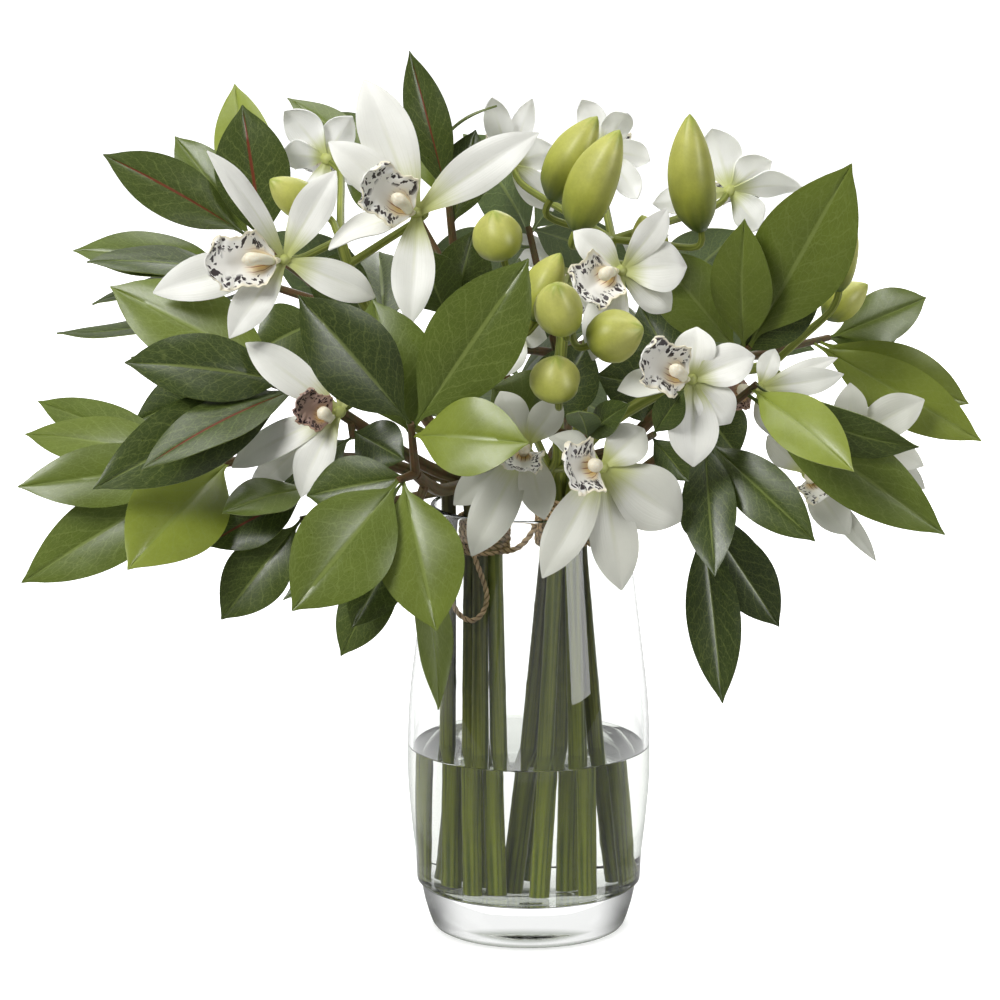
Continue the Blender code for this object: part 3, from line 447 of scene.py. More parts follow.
# a side branch from a stem's line, bowed aside by the smallest amount that keeps it clear
def twig(node, line, start, rest, thick, thin):
    count = len(line)
    starts = sorted(range(2, count), key=lambda k: abs(k - start % count))[:5]
    for bow in (0, 4, 8, 12, 17, 23, 30, 38):
        for begin in starts:
            reach = (rest[-1] - line[begin]).normalized()
            aside = reach.orthogonal().normalized()
            for k in range(8 if bow else 1):
                push = Quaternion(reach, math.pi * k / 4) @ aside * bow
                path = way([line[begin], (line[begin] + rest[0]) / 2 + push] + rest, 2)
                sizes = [thick + (thin - thick) * i / (len(path) - 1) for i in range(len(path))]
                if clear(node, tube(path, [size + gap for size in sizes], 5), None):
                    keep(node, tube(path, sizes, 5))
                    rods.append((node, path, sizes))
                    return path
    return [line[start], rest[-1]]


# the point this far back from the end of a line
def pointBack(line, back):
    for a, b in zip(reversed(line), list(reversed(line))[1:]):
        if back <= (b - a).length:
            return a + (b - a).normalized() * back
        back -= (b - a).length
    return line[0].copy()


def vaseOutline():
    outer = [(41.5, 0.0), (43.8, 1.8), (45.6, 6.0), (48.4, 17.0), (48.8, 20.6), (50.4, 22.4)]
    outer += [(51.4, 34.0), (53.2, 49.0), (54.8, 68.0), (55.0, 84.0), (53.9, 108.0), (50.4, 138.0)]
    outer += [(46.8, 168.0), (44.7, 188.0), (44.3, 195.4), (43.3, vaseHeight), (42.3, 195.4)]
    return outer


def innerRadius(height):
    outer = [point for point in vaseOutline() if point[1] > 21.5 and point[0] > 44]
    for low, high in zip(outer, outer[1:]):
        if low[1] <= height <= high[1]:
            return low[0] + (high[0] - low[0]) * (height - low[1]) / (high[1] - low[1]) - vaseWall
    return outer[0][0] - vaseWall


innerHeights = [186.0, 168.0, 138.0, 108.0, 84.0, 68.0, 49.0]


def vaseSolid():
    inner = [(innerRadius(h), h) for h in innerHeights]
    profile = [(0, 0.0)] + vaseOutline() + inner
    profile += [(46.2, 25.5), (44.2, 21.6), (41.2, vaseFloor), (0, vaseFloor)]
    return turned(profile, 24)


feet = {}
ties = {}


# where each stem's foot stands in the vase, and where its tie holds it
def setStems():
    spots = [(-12, -18), (-13, 11), (-22, 22), (-27, -2), (-22, -22)]
    for k, angle in enumerate((324, 36, 108, 180, 252)):
        a = math.radians(angle)
        feet["left_%d" % k] = spots[k]
        ties["left_%d" % k] = leftTie + Vector((math.cos(a), math.sin(a), 0)) * leftRing
    spots = [(36, -2), (26, 21), (1, 22), (-6, -6), (4, -24), (23, -22)]
    for k, angle in enumerate((0, 60, 120, 180, 240, 300)):
        a = math.radians(angle)
        feet["right_%d" % k] = spots[k]
        ties["right_%d" % k] = rightTie + Vector((math.cos(a), math.sin(a), 0)) * rightRing
    feet["right_6"] = (13, 1)
    ties["right_6"] = rightTie.copy()
    feet["loose"] = (-37.5, 3)
    ties["loose"] = Vector((-36, -3, 186))


def footOf(key):
    return Vector((feet[key][0], feet[key][1], vaseFloor + 2 * gap))


# a stem from the vase floor through its tie and on through the points above
def mainStem(node, key, above):
    foot = footOf(key)
    tie = ties[key]
    low = tie - Vector((0, 0, 14))
    high = tie + Vector((0, 0, 14))
    centre = leftTie if key.startswith("left") else rightTie
    apart = Vector((tie.x - centre.x, tie.y - centre.y, 0)) * 0.7
    if key == "loose":
        apart = Vector((-1.0, 0, 0))
    bend = way([high, high + apart + Vector((0, 0, 11))] + above, 2)
    line = [foot, low] + bend
    radii = [stemRadius] * 2
    for k in range(len(bend)):
        radii.append(stemRadius - 0.9 * k / len(bend))
    keep(node, tube(line, radii, 6))
    rods.append((node, line, radii))
    return line


# turns of twine pressed side by side round a bundle: a ring with a rounded ridge for each turn
def sleeve(centre, inner, ridges, cord, sides):
    bottom = centre.z - ridges * cord
    outline = [(inner, bottom + 0.5)]
    for k in range(ridges):
        low = bottom + 2 * k * cord
        outline.append((inner + 1.2, low + 0.2))
        outline.append((inner + 2.2, low + cord))
    outline.append((inner + 1.2, bottom + 2 * ridges * cord - 0.2))
    outline.append((inner, bottom + 2 * ridges * cord - 0.5))
    corners = []
    faces = []
    count = len(outline)
    for radius, height in outline:
        for k in range(sides):
            angle = 2 * math.pi * k / sides
            x = centre.x + radius * math.cos(angle)
            y = centre.y + radius * math.sin(angle)
            corners.append(Vector((x, y, height)))
    for i in range(count):
        j = (i + 1) % count
        for k in range(sides):
            n = (k + 1) % sides
            faces.append((i * sides + k, i * sides + n, j * sides + n, j * sides + k))
    return closed(corners, faces)


# sizes of the twine, its turns round the two bundles and the way of the strand between them
twine = dict(
    radius=1.2, strandRadius=1.25, turnHeight=2.5, leftTurns=8, rightTurns=10,
    step=0.55, sides=10, lay=6.5,
    strand=[(-13, -14, 176), (-5, -19, 179), (2, -19, 186), (6, -13.5, 196)],
)


def strandPoints():
    return [Vector(spot) for spot in twine["strand"]]


# the two wrapped ties and the strand that runs from one to the other
def twineTies():
    cord = twine["turnHeight"]
    parts = [sleeve(leftTie, leftRing + stemRadius + gap, 4, cord, 12)]
    parts.append(sleeve(rightTie, rightRing + stemRadius + gap, 5, cord, 12))
    parts.append(tube(way(strandPoints(), 2), [1.3] * 7, 6))
    return parts


loopRoute = [(-24.6, -17.5, 176), (-22.6, -19.2, 170.4), (-20.2, -20.2, 164), (-18.6, -20.8, 157)]
loopRoute += [(-20.4, -20.8, 150), (-25, -20.8, 146), (-30, -20.6, 148), (-33.6, -20, 153.5)]
loopRoute += [(-34.6, -19, 160), (-33.4, -17.4, 166), (-31.6, -15.4, 171.4), (-30, -13.9, 176)]


def loopLine():
    return way([Vector(spot) for spot in loopRoute], 2)


sprouts = []


# a twig from a point of a stem's line to a joint, with its leaves set round the joint
def spray(node, line, start, joint, leafSet, thick=2.2):
    end = place(joint)
    path = twig(node, line, start, [end], thick, 1.5)
    for k, (tip, width, roll, arch, *tone) in enumerate(leafSet):
        sprouts.append((node, pointBack(path, 0.6 + 3.2 * k), place(tip), width, front, roll, arch, tone))
    return path


# leaves are set last, the nearest to the front first
def growLeaves():
    for node, start, tip, width, look, roll, arch, tone in sorted(sprouts, key=lambda item: item[2].y):
        outline = shortLeafOutline if width < 16 or look == rear else leafOutline
        grown = fit(node, (start, tip, width, look, roll, arch, 0.16, outline, leafThickness))
        leaves.append((node, grown, tone))


lines = {}


# the stems, each from the vase floor through its tie to where its twigs part
def mainStems():
    routes = [
        ("leafy_stem_front", "left_4", [(-40, 201, -50), (-51, 209, -88)]),
        ("leafy_stem_left", "left_3", [(-44, 211, -22), (-80, 234, -40), (-100, 248, -52)]),
        ("leafy_stem_low_left", "loose", [
            (-44, 207, -6), (-67, 215, -18), (-98, 216, -34), (-130, 215, -44)]),
        ("leafy_stem_upper_left", "left_2", [(-40, 225, 14), (-67, 266, 22), (-98, 297, 26)]),
        ("leafy_stem_top", "left_1", [(-25, 229, 16), (-28, 270, 24), (-33, 306, 26)]),
        ("leafy_stem_upper_right", "right_1", [(41, 220, 0), (63, 243, -8), (85, 259, -18)]),
        ("leafy_stem_right", "right_0", [(45, 206, -16), (68, 225, -34), (86, 241, -48)]),
        ("leafy_stem_centre", "right_3", [(-4, 217, -9), (-5, 233, -12)]),
        ("orchid_stem_left", "left_0", [(-30, 225, -30), (-53, 257, -34), (-75, 288, -36), (-84, 315, -32)]),
        ("orchid_stem_centre", "right_4", [(14, 216, -30), (12, 243, -44), (15, 270, -52), (16, 293, -54)]),
        ("orchid_stem_top", "right_6", [(23, 229, 8), (25, 261, 10), (32, 293, 6), (37, 315, 2)]),
        ("orchid_stem_right", "right_5", [(27, 225, -22), (54, 244, -26), (82, 254, -30), (108, 258, -22)]),
    ]
    for node, key, above in routes:
        lines[node] = mainStem(node, key, [place(spot) for spot in above])
    above = [Vector((18, 26, 226)), Vector((14, 48, 256))]
    lines["leafy_stem_back"] = mainStem("leafy_stem_back", "right_2", above)


def rosetteStem():
    node = "leafy_stem_front"
    line = lines[node]
    spray(node, line, -1, (-53, 232, -104), [
        ((-103, 290, -128), 36, 0, 0.05),
        ((-3, 305, -118), 40, 10, 0.06, "mid"),
        ((0, 223, -128), 34, 0, 0.08, "pale"),
        ((-70, 288, -84), 38, 0, 0.06, "mid"),
    ])
    spray(node, line, -1, (-59, 206, -100), [
        ((-107, 146, -134), 42, -8, 0.08, "mid"),
        ((-42, 139, -132), 37, 0, 0.07, "mid"),
        ((-111, 151, -96), 20, 30, -0.06),
        ((-100, 199, -82), 26, 0, 0.05),
    ])
    spray(node, line, -2, (-57, 177, -88), [
        ((-85, 125, -92), 24, 10, 0.05),
        ((-80, 138, -108), 24, 0, 0.05),
        ((-41, 100, -84), 22, -45, 0.06, "mid"),
    ])
    spray(node, line, -3, (-103, 188, -66), [
        ((-139, 142, -72), 28, 0, 0.04),
    ])


def leftStem():
    node = "leafy_stem_left"
    line = lines[node]
    spray(node, line, -1, (-107, 251, -60), [
        ((-183, 300, -84), 38, 8, 0.05, "mid"),
        ((-183, 258, -72), 33, 0, 0.05),
        ((-196, 202, -100), 34, 0, 0.05),
        ((-174, 211, -116), 26, 30, 0.05, "redRib"),
    ])
    spray(node, line, -3, (-79, 225, -44), [
        ((-110, 202, -56), 26, 0, 0.05),
        ((-54, 219, -56), 24, 0, 0.05),
    ], 1.8)
    spray(node, line, -2, (-127, 254, -24), [
        ((-178, 262, -30), 12, 30, 0.04),
        ((-177, 233, -20), 26, 0, 0.04),
    ])


def lowLeftStem():
    node = "leafy_stem_low_left"
    line = lines[node]
    spray(node, line, -1, (-148, 212, -50), [
        ((-220, 242, 10), 22, 20, 0.03, "mid"),
        ((-226, 227, -10), 26, 20, 0.05, "mid"),
        ((-230, 203, -50), 28, 0, 0.04, "mid"),
        ((-229, 159, -40), 33, 0, 0.05, "mid"),
        ((-181, 165, -104), 42, 0, 0.07, "pale"),
    ])
    spray(node, line, -4, (-99, 201, -64), [
        ((-146, 177, -78), 26, 10, 0.05, "redRib"),
        ((-138, 191, -88), 24, 35, 0.05, "mid"),
    ])


def upperLeftStem():
    node = "leafy_stem_upper_left"
    line = lines[node]
    spray(node, line, -1, (-126, 317, 30), [
        ((-189, 353, 20), 28, 10, 0.06, "redRib"),
        ((-157, 361, 50), 24, 0, 0.06, "mid"),
        ((-131, 388, 64), 27, 0, 0.06, "pale"),
        ((-127, 375, 30), 34, 0, 0.06, "redRib"),
    ])
    spray(node, line, -3, (-92, 280, 16), [
        ((-122, 265, 8), 30, 0, 0.05),
        ((-80, 311, 6), 28, 0, 0.05),
    ], 1.8)
    spray(node, line, -2, (-129, 299, 20), [
        ((-203, 310, 30), 27, 30, 0.06, "mid"),
        ((-197, 305, 4), 26, 48, 0.05),
        ((-195, 286, 24), 24, 60, 0.06),
        ((-211, 273, 46), 24, 60, -0.07),
    ])


def topStem():
    node = "leafy_stem_top"
    line = lines[node]
    spray(node, line, -1, (-36, 333, 24), [
        ((-53, 399, 14), 20, 0, 0.05, "redRib"),
        ((-63, 380, 44), 18, 20, 0.05, "mid"),
        ((-15, 375, 26), 15, -80, 0.30, "mid"),
        ((-17, 374, 62), 20, 10, 0.06),
        ((-30, 365, 34), 24, 0, 0.06),
    ])
    spray(node, line, -3, (-37, 280, 10), [
        ((-49, 311, 2), 27, 0, 0.05),
        ((-25, 319, 14), 26, 10, 0.05),
    ], 1.8)
    spray(node, line, -2, (-57, 338, 48), [
        ((-107, 378, 76), 22, 30, 0.05, "mid"),
        ((-82, 343, 44), 25, 0, 0.05, "mid"),
        ((-86, 372, 96), 26, 0, 0.06),
    ])


def upperRightStem():
    node = "leafy_stem_upper_right"
    line = lines[node]
    spray(node, line, -1, (99, 267, -28), [
        ((143, 349, -66), 43, 4, 0.05, "mid"),
        ((95, 329, -52), 28, -20, 0.06, "mid"),
        ((55, 311, -16), 32, 0, 0.05, "mid"),
        ((131, 298, -40), 24, 20, 0.06),
    ])
    spray(node, line, -3, (77, 242, 6), [
        ((30, 254, 0), 32, 0, 0.05),
        ((94, 217, -6), 28, 0, 0.05),
        ((49, 288, 20), 26, 0, 0.05),
    ], 1.8)
    spray(node, line, -1, (134, 271, 16), [
        ((177, 289, 34), 24, 15, 0.06, "mid"),
        ((168, 278, 50), 24, 30, 0.05, "mid"),
        ((197, 241, 20), 28, 15, 0.06, "pale"),
        ((203, 224, -6), 27, 10, 0.05, "pale"),
    ])


def rightStem():
    node = "leafy_stem_right"
    line = lines[node]
    spray(node, line, 3, (56, 227, -90), [
        ((66, 249, -98), 14, 0, 0.05),
        ((72, 206, -94), 14, 0, 0.05),
    ], 1.8)
    spray(node, line, -1, (102, 250, -74), [
        ((173, 226, -106), 27, 55, 0.10),
        ((146, 210, -120), 26, -5, 0.08, "pale"),
        ((189, 183, -96), 31, 8, 0.04, "mid"),
    ])
    spray(node, line, -2, (79, 225, -62), [
        ((129, 178, -90), 25, 8, 0.04),
        ((84, 162, -100), 24, 10, 0.05),
        ((84, 184, -78), 22, 30, -0.08),
    ])
    spray(node, line, -3, (78, 190, -46), [
        ((88, 103, -60), 24, 0, 0.03),
        ((115, 138, -50), 26, 10, 0.05),
        ((108, 146, -28), 22, 0, 0.05),
        ((76, 178, -60), 14, 30, 0.05),
    ])


def smallLeafStem():
    node = "leafy_stem_centre"
    line = lines[node]
    spray(node, line, -1, (27, 225, -84), [
        ((18, 243, -104), 15, 0, 0.05),
        ((48, 242, -100), 15, 0, 0.05),
    ], 1.8)
    spray(node, line, -1, (6, 229, -28), [
        ((-20, 250, -50), 38, 0, 0.06, "mid"),
        ((27, 268, -16), 30, 0, 0.06),
    ])
    spray(node, line, -1, (-13, 266, -8), [
        ((-26, 288, -14), 28, 10, 0.06),
        ((5, 293, 0), 28, 0, 0.06),
        ((-4, 311, 10), 24, -20, 0.06),
    ])


def backStem():
    node = "leafy_stem_back"
    line = lines[node]
    joints = [
        (Vector((-70, 78, 262)), -60),
        (Vector((-6, 96, 236)), 0),
        (Vector((60, 84, 268)), 45),
        (Vector((0, 66, 312)), 10),
    ]
    for k, (joint, turn) in enumerate(joints):
        path = twig(node, line, -1 - k % 2, [joint], 2.2, 1.5)
        out = Vector((joint.x, joint.y, 0)).normalized()
        aside = Vector((-out.y, out.x, 0))
        for j, angle in enumerate((-112, -38, 34, 108)):
            a = math.radians(angle + turn / 6)
            reach = out * (30 + 14 * ((j + k) % 3)) + aside * (52 * math.sin(a))
            reach = reach + Vector((0, 0, 1)) * (52 * math.cos(a) - 6)
            width = 28 + 4 * ((j + 2 * k) % 3)
            root = pointBack(path, 0.6 + 3.0 * j)
            sprouts.append((node, root, joint + reach, width, rear, 0, 0.06, []))


blooms = []
shoots = []


# the stalks of blooms and buds are led in once every lip and bud has its place
def growShoots():
    for node, line, start, rest, thick, thin in shoots:
        twig(node, line, start, rest, thick, thin)


# fix a bloom's middle and lip; its sepals and petals are set after every stalk and bud
def bloom(name, centre, facing, lipTip, lipWidth, petals, look=front):
    middle = place(centre)
    aim = Vector(facing).normalized()
    foot = middle + aim * (hubRadius + gap + 2.8)
    node = name + "_lip"
    tip = place(lipTip)
    shape = (foot, tip, lipWidth, look, 0, -0.10, 0.22, lipOutline, lipThickness)
    keep(node, blade(shape))
    lips.append((name, shape, middle + aim * (hubRadius + gap), aim))
    hearts.append((name, middle, aim))
    out = (tip - foot).normalized()
    rise = turnedFace(out, look, 0)
    reach = (tip - foot).length
    crown = foot + out * reach * 0.3 + rise * 5.0
    nose = foot + out * reach * 0.52 + rise * 4.6
    column = [foot - rise * 1.6, crown, nose]
    keep(node, tube(column, [2.4, 3.3, 2.2], 5))
    keep(node, tube([middle + aim * (hubRadius + gap), foot + aim], [1.2, 1.9], 5))
    keep(name + "_tepals", heart(middle, hubRadius, aim))
    blooms.append((name, middle, look, petals))
    return middle, aim


def openBlooms():
    for name, middle, look, petals in blooms:
        for tip, width, roll, arch in petals:
            root = middle + (place(tip) - middle).normalized() * (hubRadius - 1.6)
            outline = shortTepalOutline if look == rear else tepalOutline
            shape = (root, place(tip), width, look, roll, arch, 0, outline, tepalThickness)
            tepals.append((name, fit(name + "_tepals", shape)))


# the stalk of a bloom, up to just behind its middle
def stalk(node, line, start, bloomed, thick=1.9):
    middle, aim = bloomed
    back = middle - aim * (hubRadius + gap)
    away = middle - aim * (hubRadius + 9)
    shoots.append((node, line, start, [away, back], thick, 1.5))


# a closed bud on its stalk: round at the base, drawn to a point
def bud(node, line, start, base, tip, radius):
    low = place(base)
    high = place(tip)
    shares = [(0, 0.30), (0.18, 0.84), (0.45, 1.0), (0.76, 0.72), (1.0, 0.14)]
    points = [low + (high - low) * t for t, share in shares]
    keep(node, tube(points, [radius * share for t, share in shares], 6))
    buds.append((node, low, high, radius))
    aim = (high - low).normalized()
    shoots.append((node, line, start, [low - aim * 8, low + aim * 2], 1.7, 1.6))


def orchidLeft():
    node = "orchid_stem_left"
    line = lines[node]
    a = bloom("bloom_a", (-109, 306, -58), (-0.55, -0.8, 0.05), (-144, 304, -78), 27, [
        ((-142, 355, -72), 12, 20, 0.05),
        ((-86, 346, -58), 17, 0, 0.05),
        ((-167, 299, -84), 20, 0, 0.05),
        ((-134, 271, -76), 17, 0, 0.05),
        ((-68, 289, -52), 17, 0, 0.05),
    ])
    stalk(node, line, -1, a)
    b = bloom("bloom_b", (-50, 327, -44), (-0.35, -0.9, 0.15), (-73, 343, -66), 26, [
        ((-73, 387, -30), 24, 0, 0.05),
        ((-89, 359, -44), 18, 0, 0.05),
        ((-90, 312, -60), 17, 45, 0.05),
        ((4, 363, -56), 20, 0, 0.06),
        ((-53, 277, -66), 19, 0, 0.05),
    ])
    stalk(node, line, -2, b)
    f = bloom("bloom_f", (-85, 237, -70), (-0.6, -0.7, -0.3), (-104, 242, -84), 18, [
        ((-137, 215, -84), 16, 10, 0.05),
        ((-137, 200, -94), 14, 0, 0.05),
        ((-104, 201, -90), 17, 0, 0.05),
        ((-127, 269, -64), 17, 0, 0.05),
        ((-75, 265, -62), 15, 0, 0.05),
    ])
    stalk(node, line, 5, f)
    m = bloom("bloom_m", (-90, 351, 36), (-0.5, 0.7, 0.3), (-96, 346, 64), 22, [
        ((-106, 374, 44), 17, 0, 0.05),
        ((-110, 354, 40), 15, 0, 0.05),
        ((-79, 370, 46), 16, 0, 0.05),
        ((-70, 342, 34), 15, 0, 0.05),
        ((-94, 328, 24), 15, 0, 0.05),
    ], rear)
    stalk(node, line, -1, m)
    bud(node, line, -1, (-94, 328, -24), (-115, 342, -34), 8.5)


def orchidCentre():
    node = "orchid_stem_centre"
    line = lines[node]
    e = bloom("bloom_e", (33, 212, -98), (-0.35, -0.9, 0.1), (17, 211, -122), 26, [
        ((52, 230, -92), 19, 0, 0.05),
        ((69, 187, -96), 28, 0, 0.05),
        ((42, 155, -104), 21, 0, 0.05),
        ((6, 161, -112), 19, 0, 0.05),
        ((9, 227, -92), 14, 40, 0.08),
    ])
    stalk(node, line, 4, e)
    n = bloom("bloom_n", (-1, 222, -70), (-0.2, -0.9, -0.3), (-4, 211, -92), 20, [
        ((-26, 171, -82), 20, 0, 0.05),
        ((-35, 195, -76), 16, 0, 0.05),
        ((14, 243, -66), 15, 0, 0.05),
        ((-13, 247, -64), 15, 0, 0.05),
        ((7, 188, -80), 16, 0, 0.05),
    ])
    stalk(node, line, 4, n)
    i = bloom("bloom_i", (-4, 277, -34), (0.1, -0.95, 0.2), (-8, 290, -56), 18, [
        ((7, 270, -40), 14, 0, 0.05),
        ((-13, 253, -44), 16, 0, 0.05),
        ((-26, 275, -30), 16, 0, 0.05),
        ((5, 298, -28), 14, 0, 0.05),
        ((-22, 296, -26), 15, 0, 0.05),
    ])
    stalk(node, line, -2, i)
    bud(node, line, -1, (-11, 307, -52), (-16, 328, -60), 11)
    bud(node, line, -1, (1, 279, -60), (14, 309, -61), 9)
    bud(node, line, -1, (16, 275, -96), (12, 295, -114), 10.5)
    bud(node, line, -1, (28, 268, -88), (51, 275, -100), 11.5)
    bud(node, line, -2, (13, 244, -92), (12, 262, -102), 11)


def orchidTop():
    node = "orchid_stem_top"
    line = lines[node]
    c = bloom("bloom_c", (41, 301, -62), (-0.45, -0.85, 0.1), (22, 291, -84), 26, [
        ((20, 319, -64), 15, 0, 0.05),
        ((62, 329, -58), 13, 20, 0.05),
        ((71, 304, -62), 23, 0, 0.05),
        ((23, 263, -80), 19, 0, 0.05),
        ((64, 283, -60), 16, 0, 0.05),
    ])
    stalk(node, line, -2, c)
    k = bloom("bloom_k", (-8, 349, 46), (-0.3, 0.6, 0.6), (-13, 355, 72), 22, [
        ((-16, 380, 54), 13, 0, 0.05),
        ((1, 378, 56), 11, 0, 0.05),
        ((-26, 355, 44), 15, 0, 0.05),
        ((13, 355, 46), 15, 0, 0.05),
        ((5, 326, 30), 16, 0, 0.05),
    ], rear)
    stalk(node, line, -1, k)
    q = bloom("bloom_l", (33, 355, 54), (0.2, 0.6, 0.7), (36, 360, 82), 22, [
        ((24, 378, 60), 14, 0, 0.05),
        ((41, 376, 62), 14, 0, 0.05),
        ((14, 346, 52), 15, 0, 0.05),
        ((54, 351, 54), 15, 0, 0.05),
        ((49, 333, 46), 14, 0, 0.05),
    ], rear)
    stalk(node, line, -1, q)
    j = bloom("bloom_j", (89, 337, 36), (0.4, 0.7, 0.4), (95, 333, 64), 22, [
        ((54, 331, 28), 14, 30, 0.05),
        ((81, 365, 42), 20, 0, 0.05),
        ((107, 351, 40), 17, 0, 0.05),
        ((122, 339, 36), 15, 20, 0.05),
        ((103, 319, 24), 16, 0, 0.05),
    ], rear)
    stalk(node, line, -1, j)
    p = bloom("bloom_p", (20, 300, 96), (0.2, 0.9, 0.4), (20, 282, 120), 24, [
        ((-20, 318, 100), 17, 0, 0.05),
        ((20, 346, 92), 18, 0, 0.05),
        ((62, 318, 96), 17, 0, 0.05),
        ((-6, 262, 108), 17, 0, 0.05),
        ((50, 262, 106), 17, 0, 0.05),
    ], rear)
    stalk(node, line, -2, p)
    bud(node, line, -1, (10, 333, -24), (30, 370, -30), 10)
    bud(node, line, -1, (21, 319, -44), (40, 364, -54), 11)
    bud(node, line, -2, (58, 305, -30), (50, 326, -34), 8)
    bud(node, line, -1, (76, 319, -16), (71, 371, -24), 10.5)


def orchidRight():
    node = "orchid_stem_right"
    line = lines[node]
    d = bloom("bloom_d", (73, 252, -84), (-0.45, -0.85, 0.15), (51, 263, -106), 25, [
        ((75, 276, -80), 18, 0, 0.05),
        ((101, 263, -84), 19, 0, 0.05),
        ((39, 248, -80), 15, 20, 0.05),
        ((74, 212, -92), 22, 0, 0.05),
        ((91, 232, -86), 18, 0, 0.05),
    ])
    stalk(node, line, -2, d)
    h = bloom("bloom_h", (103, 248, -46), (-0.6, -0.7, -0.1), (84, 244, -60), 18, [
        ((138, 262, -48), 8, 0, 0.05),
        ((141, 254, -52), 12, 20, 0.05),
        ((131, 217, -60), 16, 0, 0.05),
        ((113, 225, -62), 15, 0, 0.05),
        ((110, 266, -44), 10, 0, 0.05),
    ])
    stalk(node, line, -1, h)
    g = bloom("bloom_g", (125, 209, -36), (0.1, -0.9, -0.2), (134, 199, -58), 18, [
        ((165, 197, -46), 18, 0, 0.05),
        ((143, 186, -60), 17, 0, 0.05),
        ((157, 169, -50), 9, 0, 0.05),
        ((107, 227, -30), 15, 0, 0.05),
        ((149, 225, -30), 16, 0, 0.05),
    ])
    stalk(node, line, -1, g)
    o = bloom("bloom_o", (144, 225, -10), (0.5, -0.8, 0.1), (154, 211, -26), 20, [
        ((177, 243, -16), 19, 0, 0.05),
        ((177, 214, -24), 15, 0, 0.05),
        ((179, 202, -6), 12, 0, 0.05),
        ((144, 250, -14), 15, 0, 0.05),
        ((127, 211, -20), 15, 0, 0.05),
    ])
    stalk(node, line, -1, o)
    bud(node, line, -1, (132, 280, -2), (151, 295, -2), 8)
    bud(node, line, -1, (138, 292, -22), (145, 321, -26), 6)


# everything in the order that decides what bends clear of what
def allStems():
    setStems()
    mainStems()
    keep("vase", vaseSolid())
    for part in twineTies():
        keep("twine_ties", part)
    keep("twine_loop", tube(loopLine(), [twine["radius"]] * len(loopLine()), 6))
    orchidLeft()
    orchidCentre()
    orchidTop()
    orchidRight()
    growShoots()
    rosetteStem()
    leftStem()
    lowLeftStem()
    upperLeftStem()
    topStem()
    upperRightStem()
    rightStem()
    smallLeafStem()
    backStem()


def newGroup(name, inputs, outputs):
    group = bpy.data.node_groups.new(name, "ShaderNodeTree")
    for label, kind, value in inputs:
        socket = group.interface.new_socket(name=label, in_out="INPUT", socket_type=kind)
        if value is not None:
            socket.default_value = value
    for label, kind in outputs:
        group.interface.new_socket(name=label, in_out="OUTPUT", socket_type=kind)
    return group, group.nodes.new("NodeGroupInput"), group.nodes.new("NodeGroupOutput")


number = "NodeSocketFloat"
arrow = "NodeSocketVector"


# midrib, side veins and the fine net between them, from the place across and along a blade
def veinGroup():
    ins = [("Across", number, 0), ("Along", number, 0), ("Pairs", number, 9), ("Seed", number, 0)]
    outs = [("Rib", number), ("Side", number), ("Net", number), ("Height", number)]
    tree, enter, leave = newGroup("leafVeins", ins, outs)
    out = calc(tree, "ABSOLUTE", enter.outputs["Across"])
    sign = calc(tree, "SIGN", enter.outputs["Across"])
    spot = addNode(tree, "ShaderNodeCombineXYZ", {
        0: enter.outputs["Across"], 1: enter.outputs["Along"], 2: enter.outputs["Seed"]})
    wobble = noiseOf(tree, spot.outputs[0], 5.0, 2.0)
    rib = soften(tree, out, 0.025, 0.062, 1, 0)
    lean = calc(tree, "MULTIPLY", calc(tree, "POWER", out, 0.85), 0.26)
    phase = calc(tree, "SUBTRACT", enter.outputs["Along"], lean)
    phase = calc(tree, "ADD", phase, calc(tree, "MULTIPLY", wobble, 0.07))
    phase = calc(tree, "MULTIPLY_ADD", sign, 0.021, phase)
    turn = calc(tree, "FRACT", calc(tree, "MULTIPLY", phase, enter.outputs["Pairs"]))
    near = calc(tree, "ABSOLUTE", calc(tree, "SUBTRACT", turn, 0.5))
    side = soften(tree, near, 0.015, 0.075, 1, 0)
    side = calc(tree, "MULTIPLY", side, soften(tree, out, 0.72, 0.97, 1, 0))
    stretch = vectorCalc(tree, "MULTIPLY", spot.outputs[0], (0.42, 1.0, 1.0))
    net = soften(tree, cellEdges(tree, stretch, 21.0), 0.01, 0.075, 1, 0)
    fineNet = soften(tree, cellEdges(tree, stretch, 58.0), 0.02, 0.09, 0.5, 0)
    net = calc(tree, "MAXIMUM", net, fineNet)
    height = calc(tree, "MAXIMUM", calc(tree, "MULTIPLY", side, 0.6), rib)
    for name, value in (("Rib", rib), ("Side", side), ("Net", net), ("Height", height)):
        tree.links.new(value, leave.inputs[name])
    return tree


# slow and quick changes of tone over a surface, about one
def mottleGroup():
    ins = [("Vector", arrow, None), ("Scale", number, 60), ("Amount", number, 0.15)]
    tree, enter, leave = newGroup("mottle", ins, [("Tone", number), ("Grain", number)])
    spot, scale, amount = enter.outputs[0], enter.outputs[1], enter.outputs[2]
    slow = noiseOf(tree, spot, scale, 3.0)
    grain = noiseOf(tree, spot, calc(tree, "MULTIPLY", scale, 9.0), 2.0)
    both = calc(tree, "ADD", calc(tree, "MULTIPLY", slow, 0.75), calc(tree, "MULTIPLY", grain, 0.25))
    swing = calc(tree, "MULTIPLY", calc(tree, "SUBTRACT", both, 0.5), calc(tree, "MULTIPLY", amount, 3.0))
    tree.links.new(calc(tree, "ADD", swing, 1.0), leave.inputs[0])
    tree.links.new(grain, leave.inputs[1])
    return tree


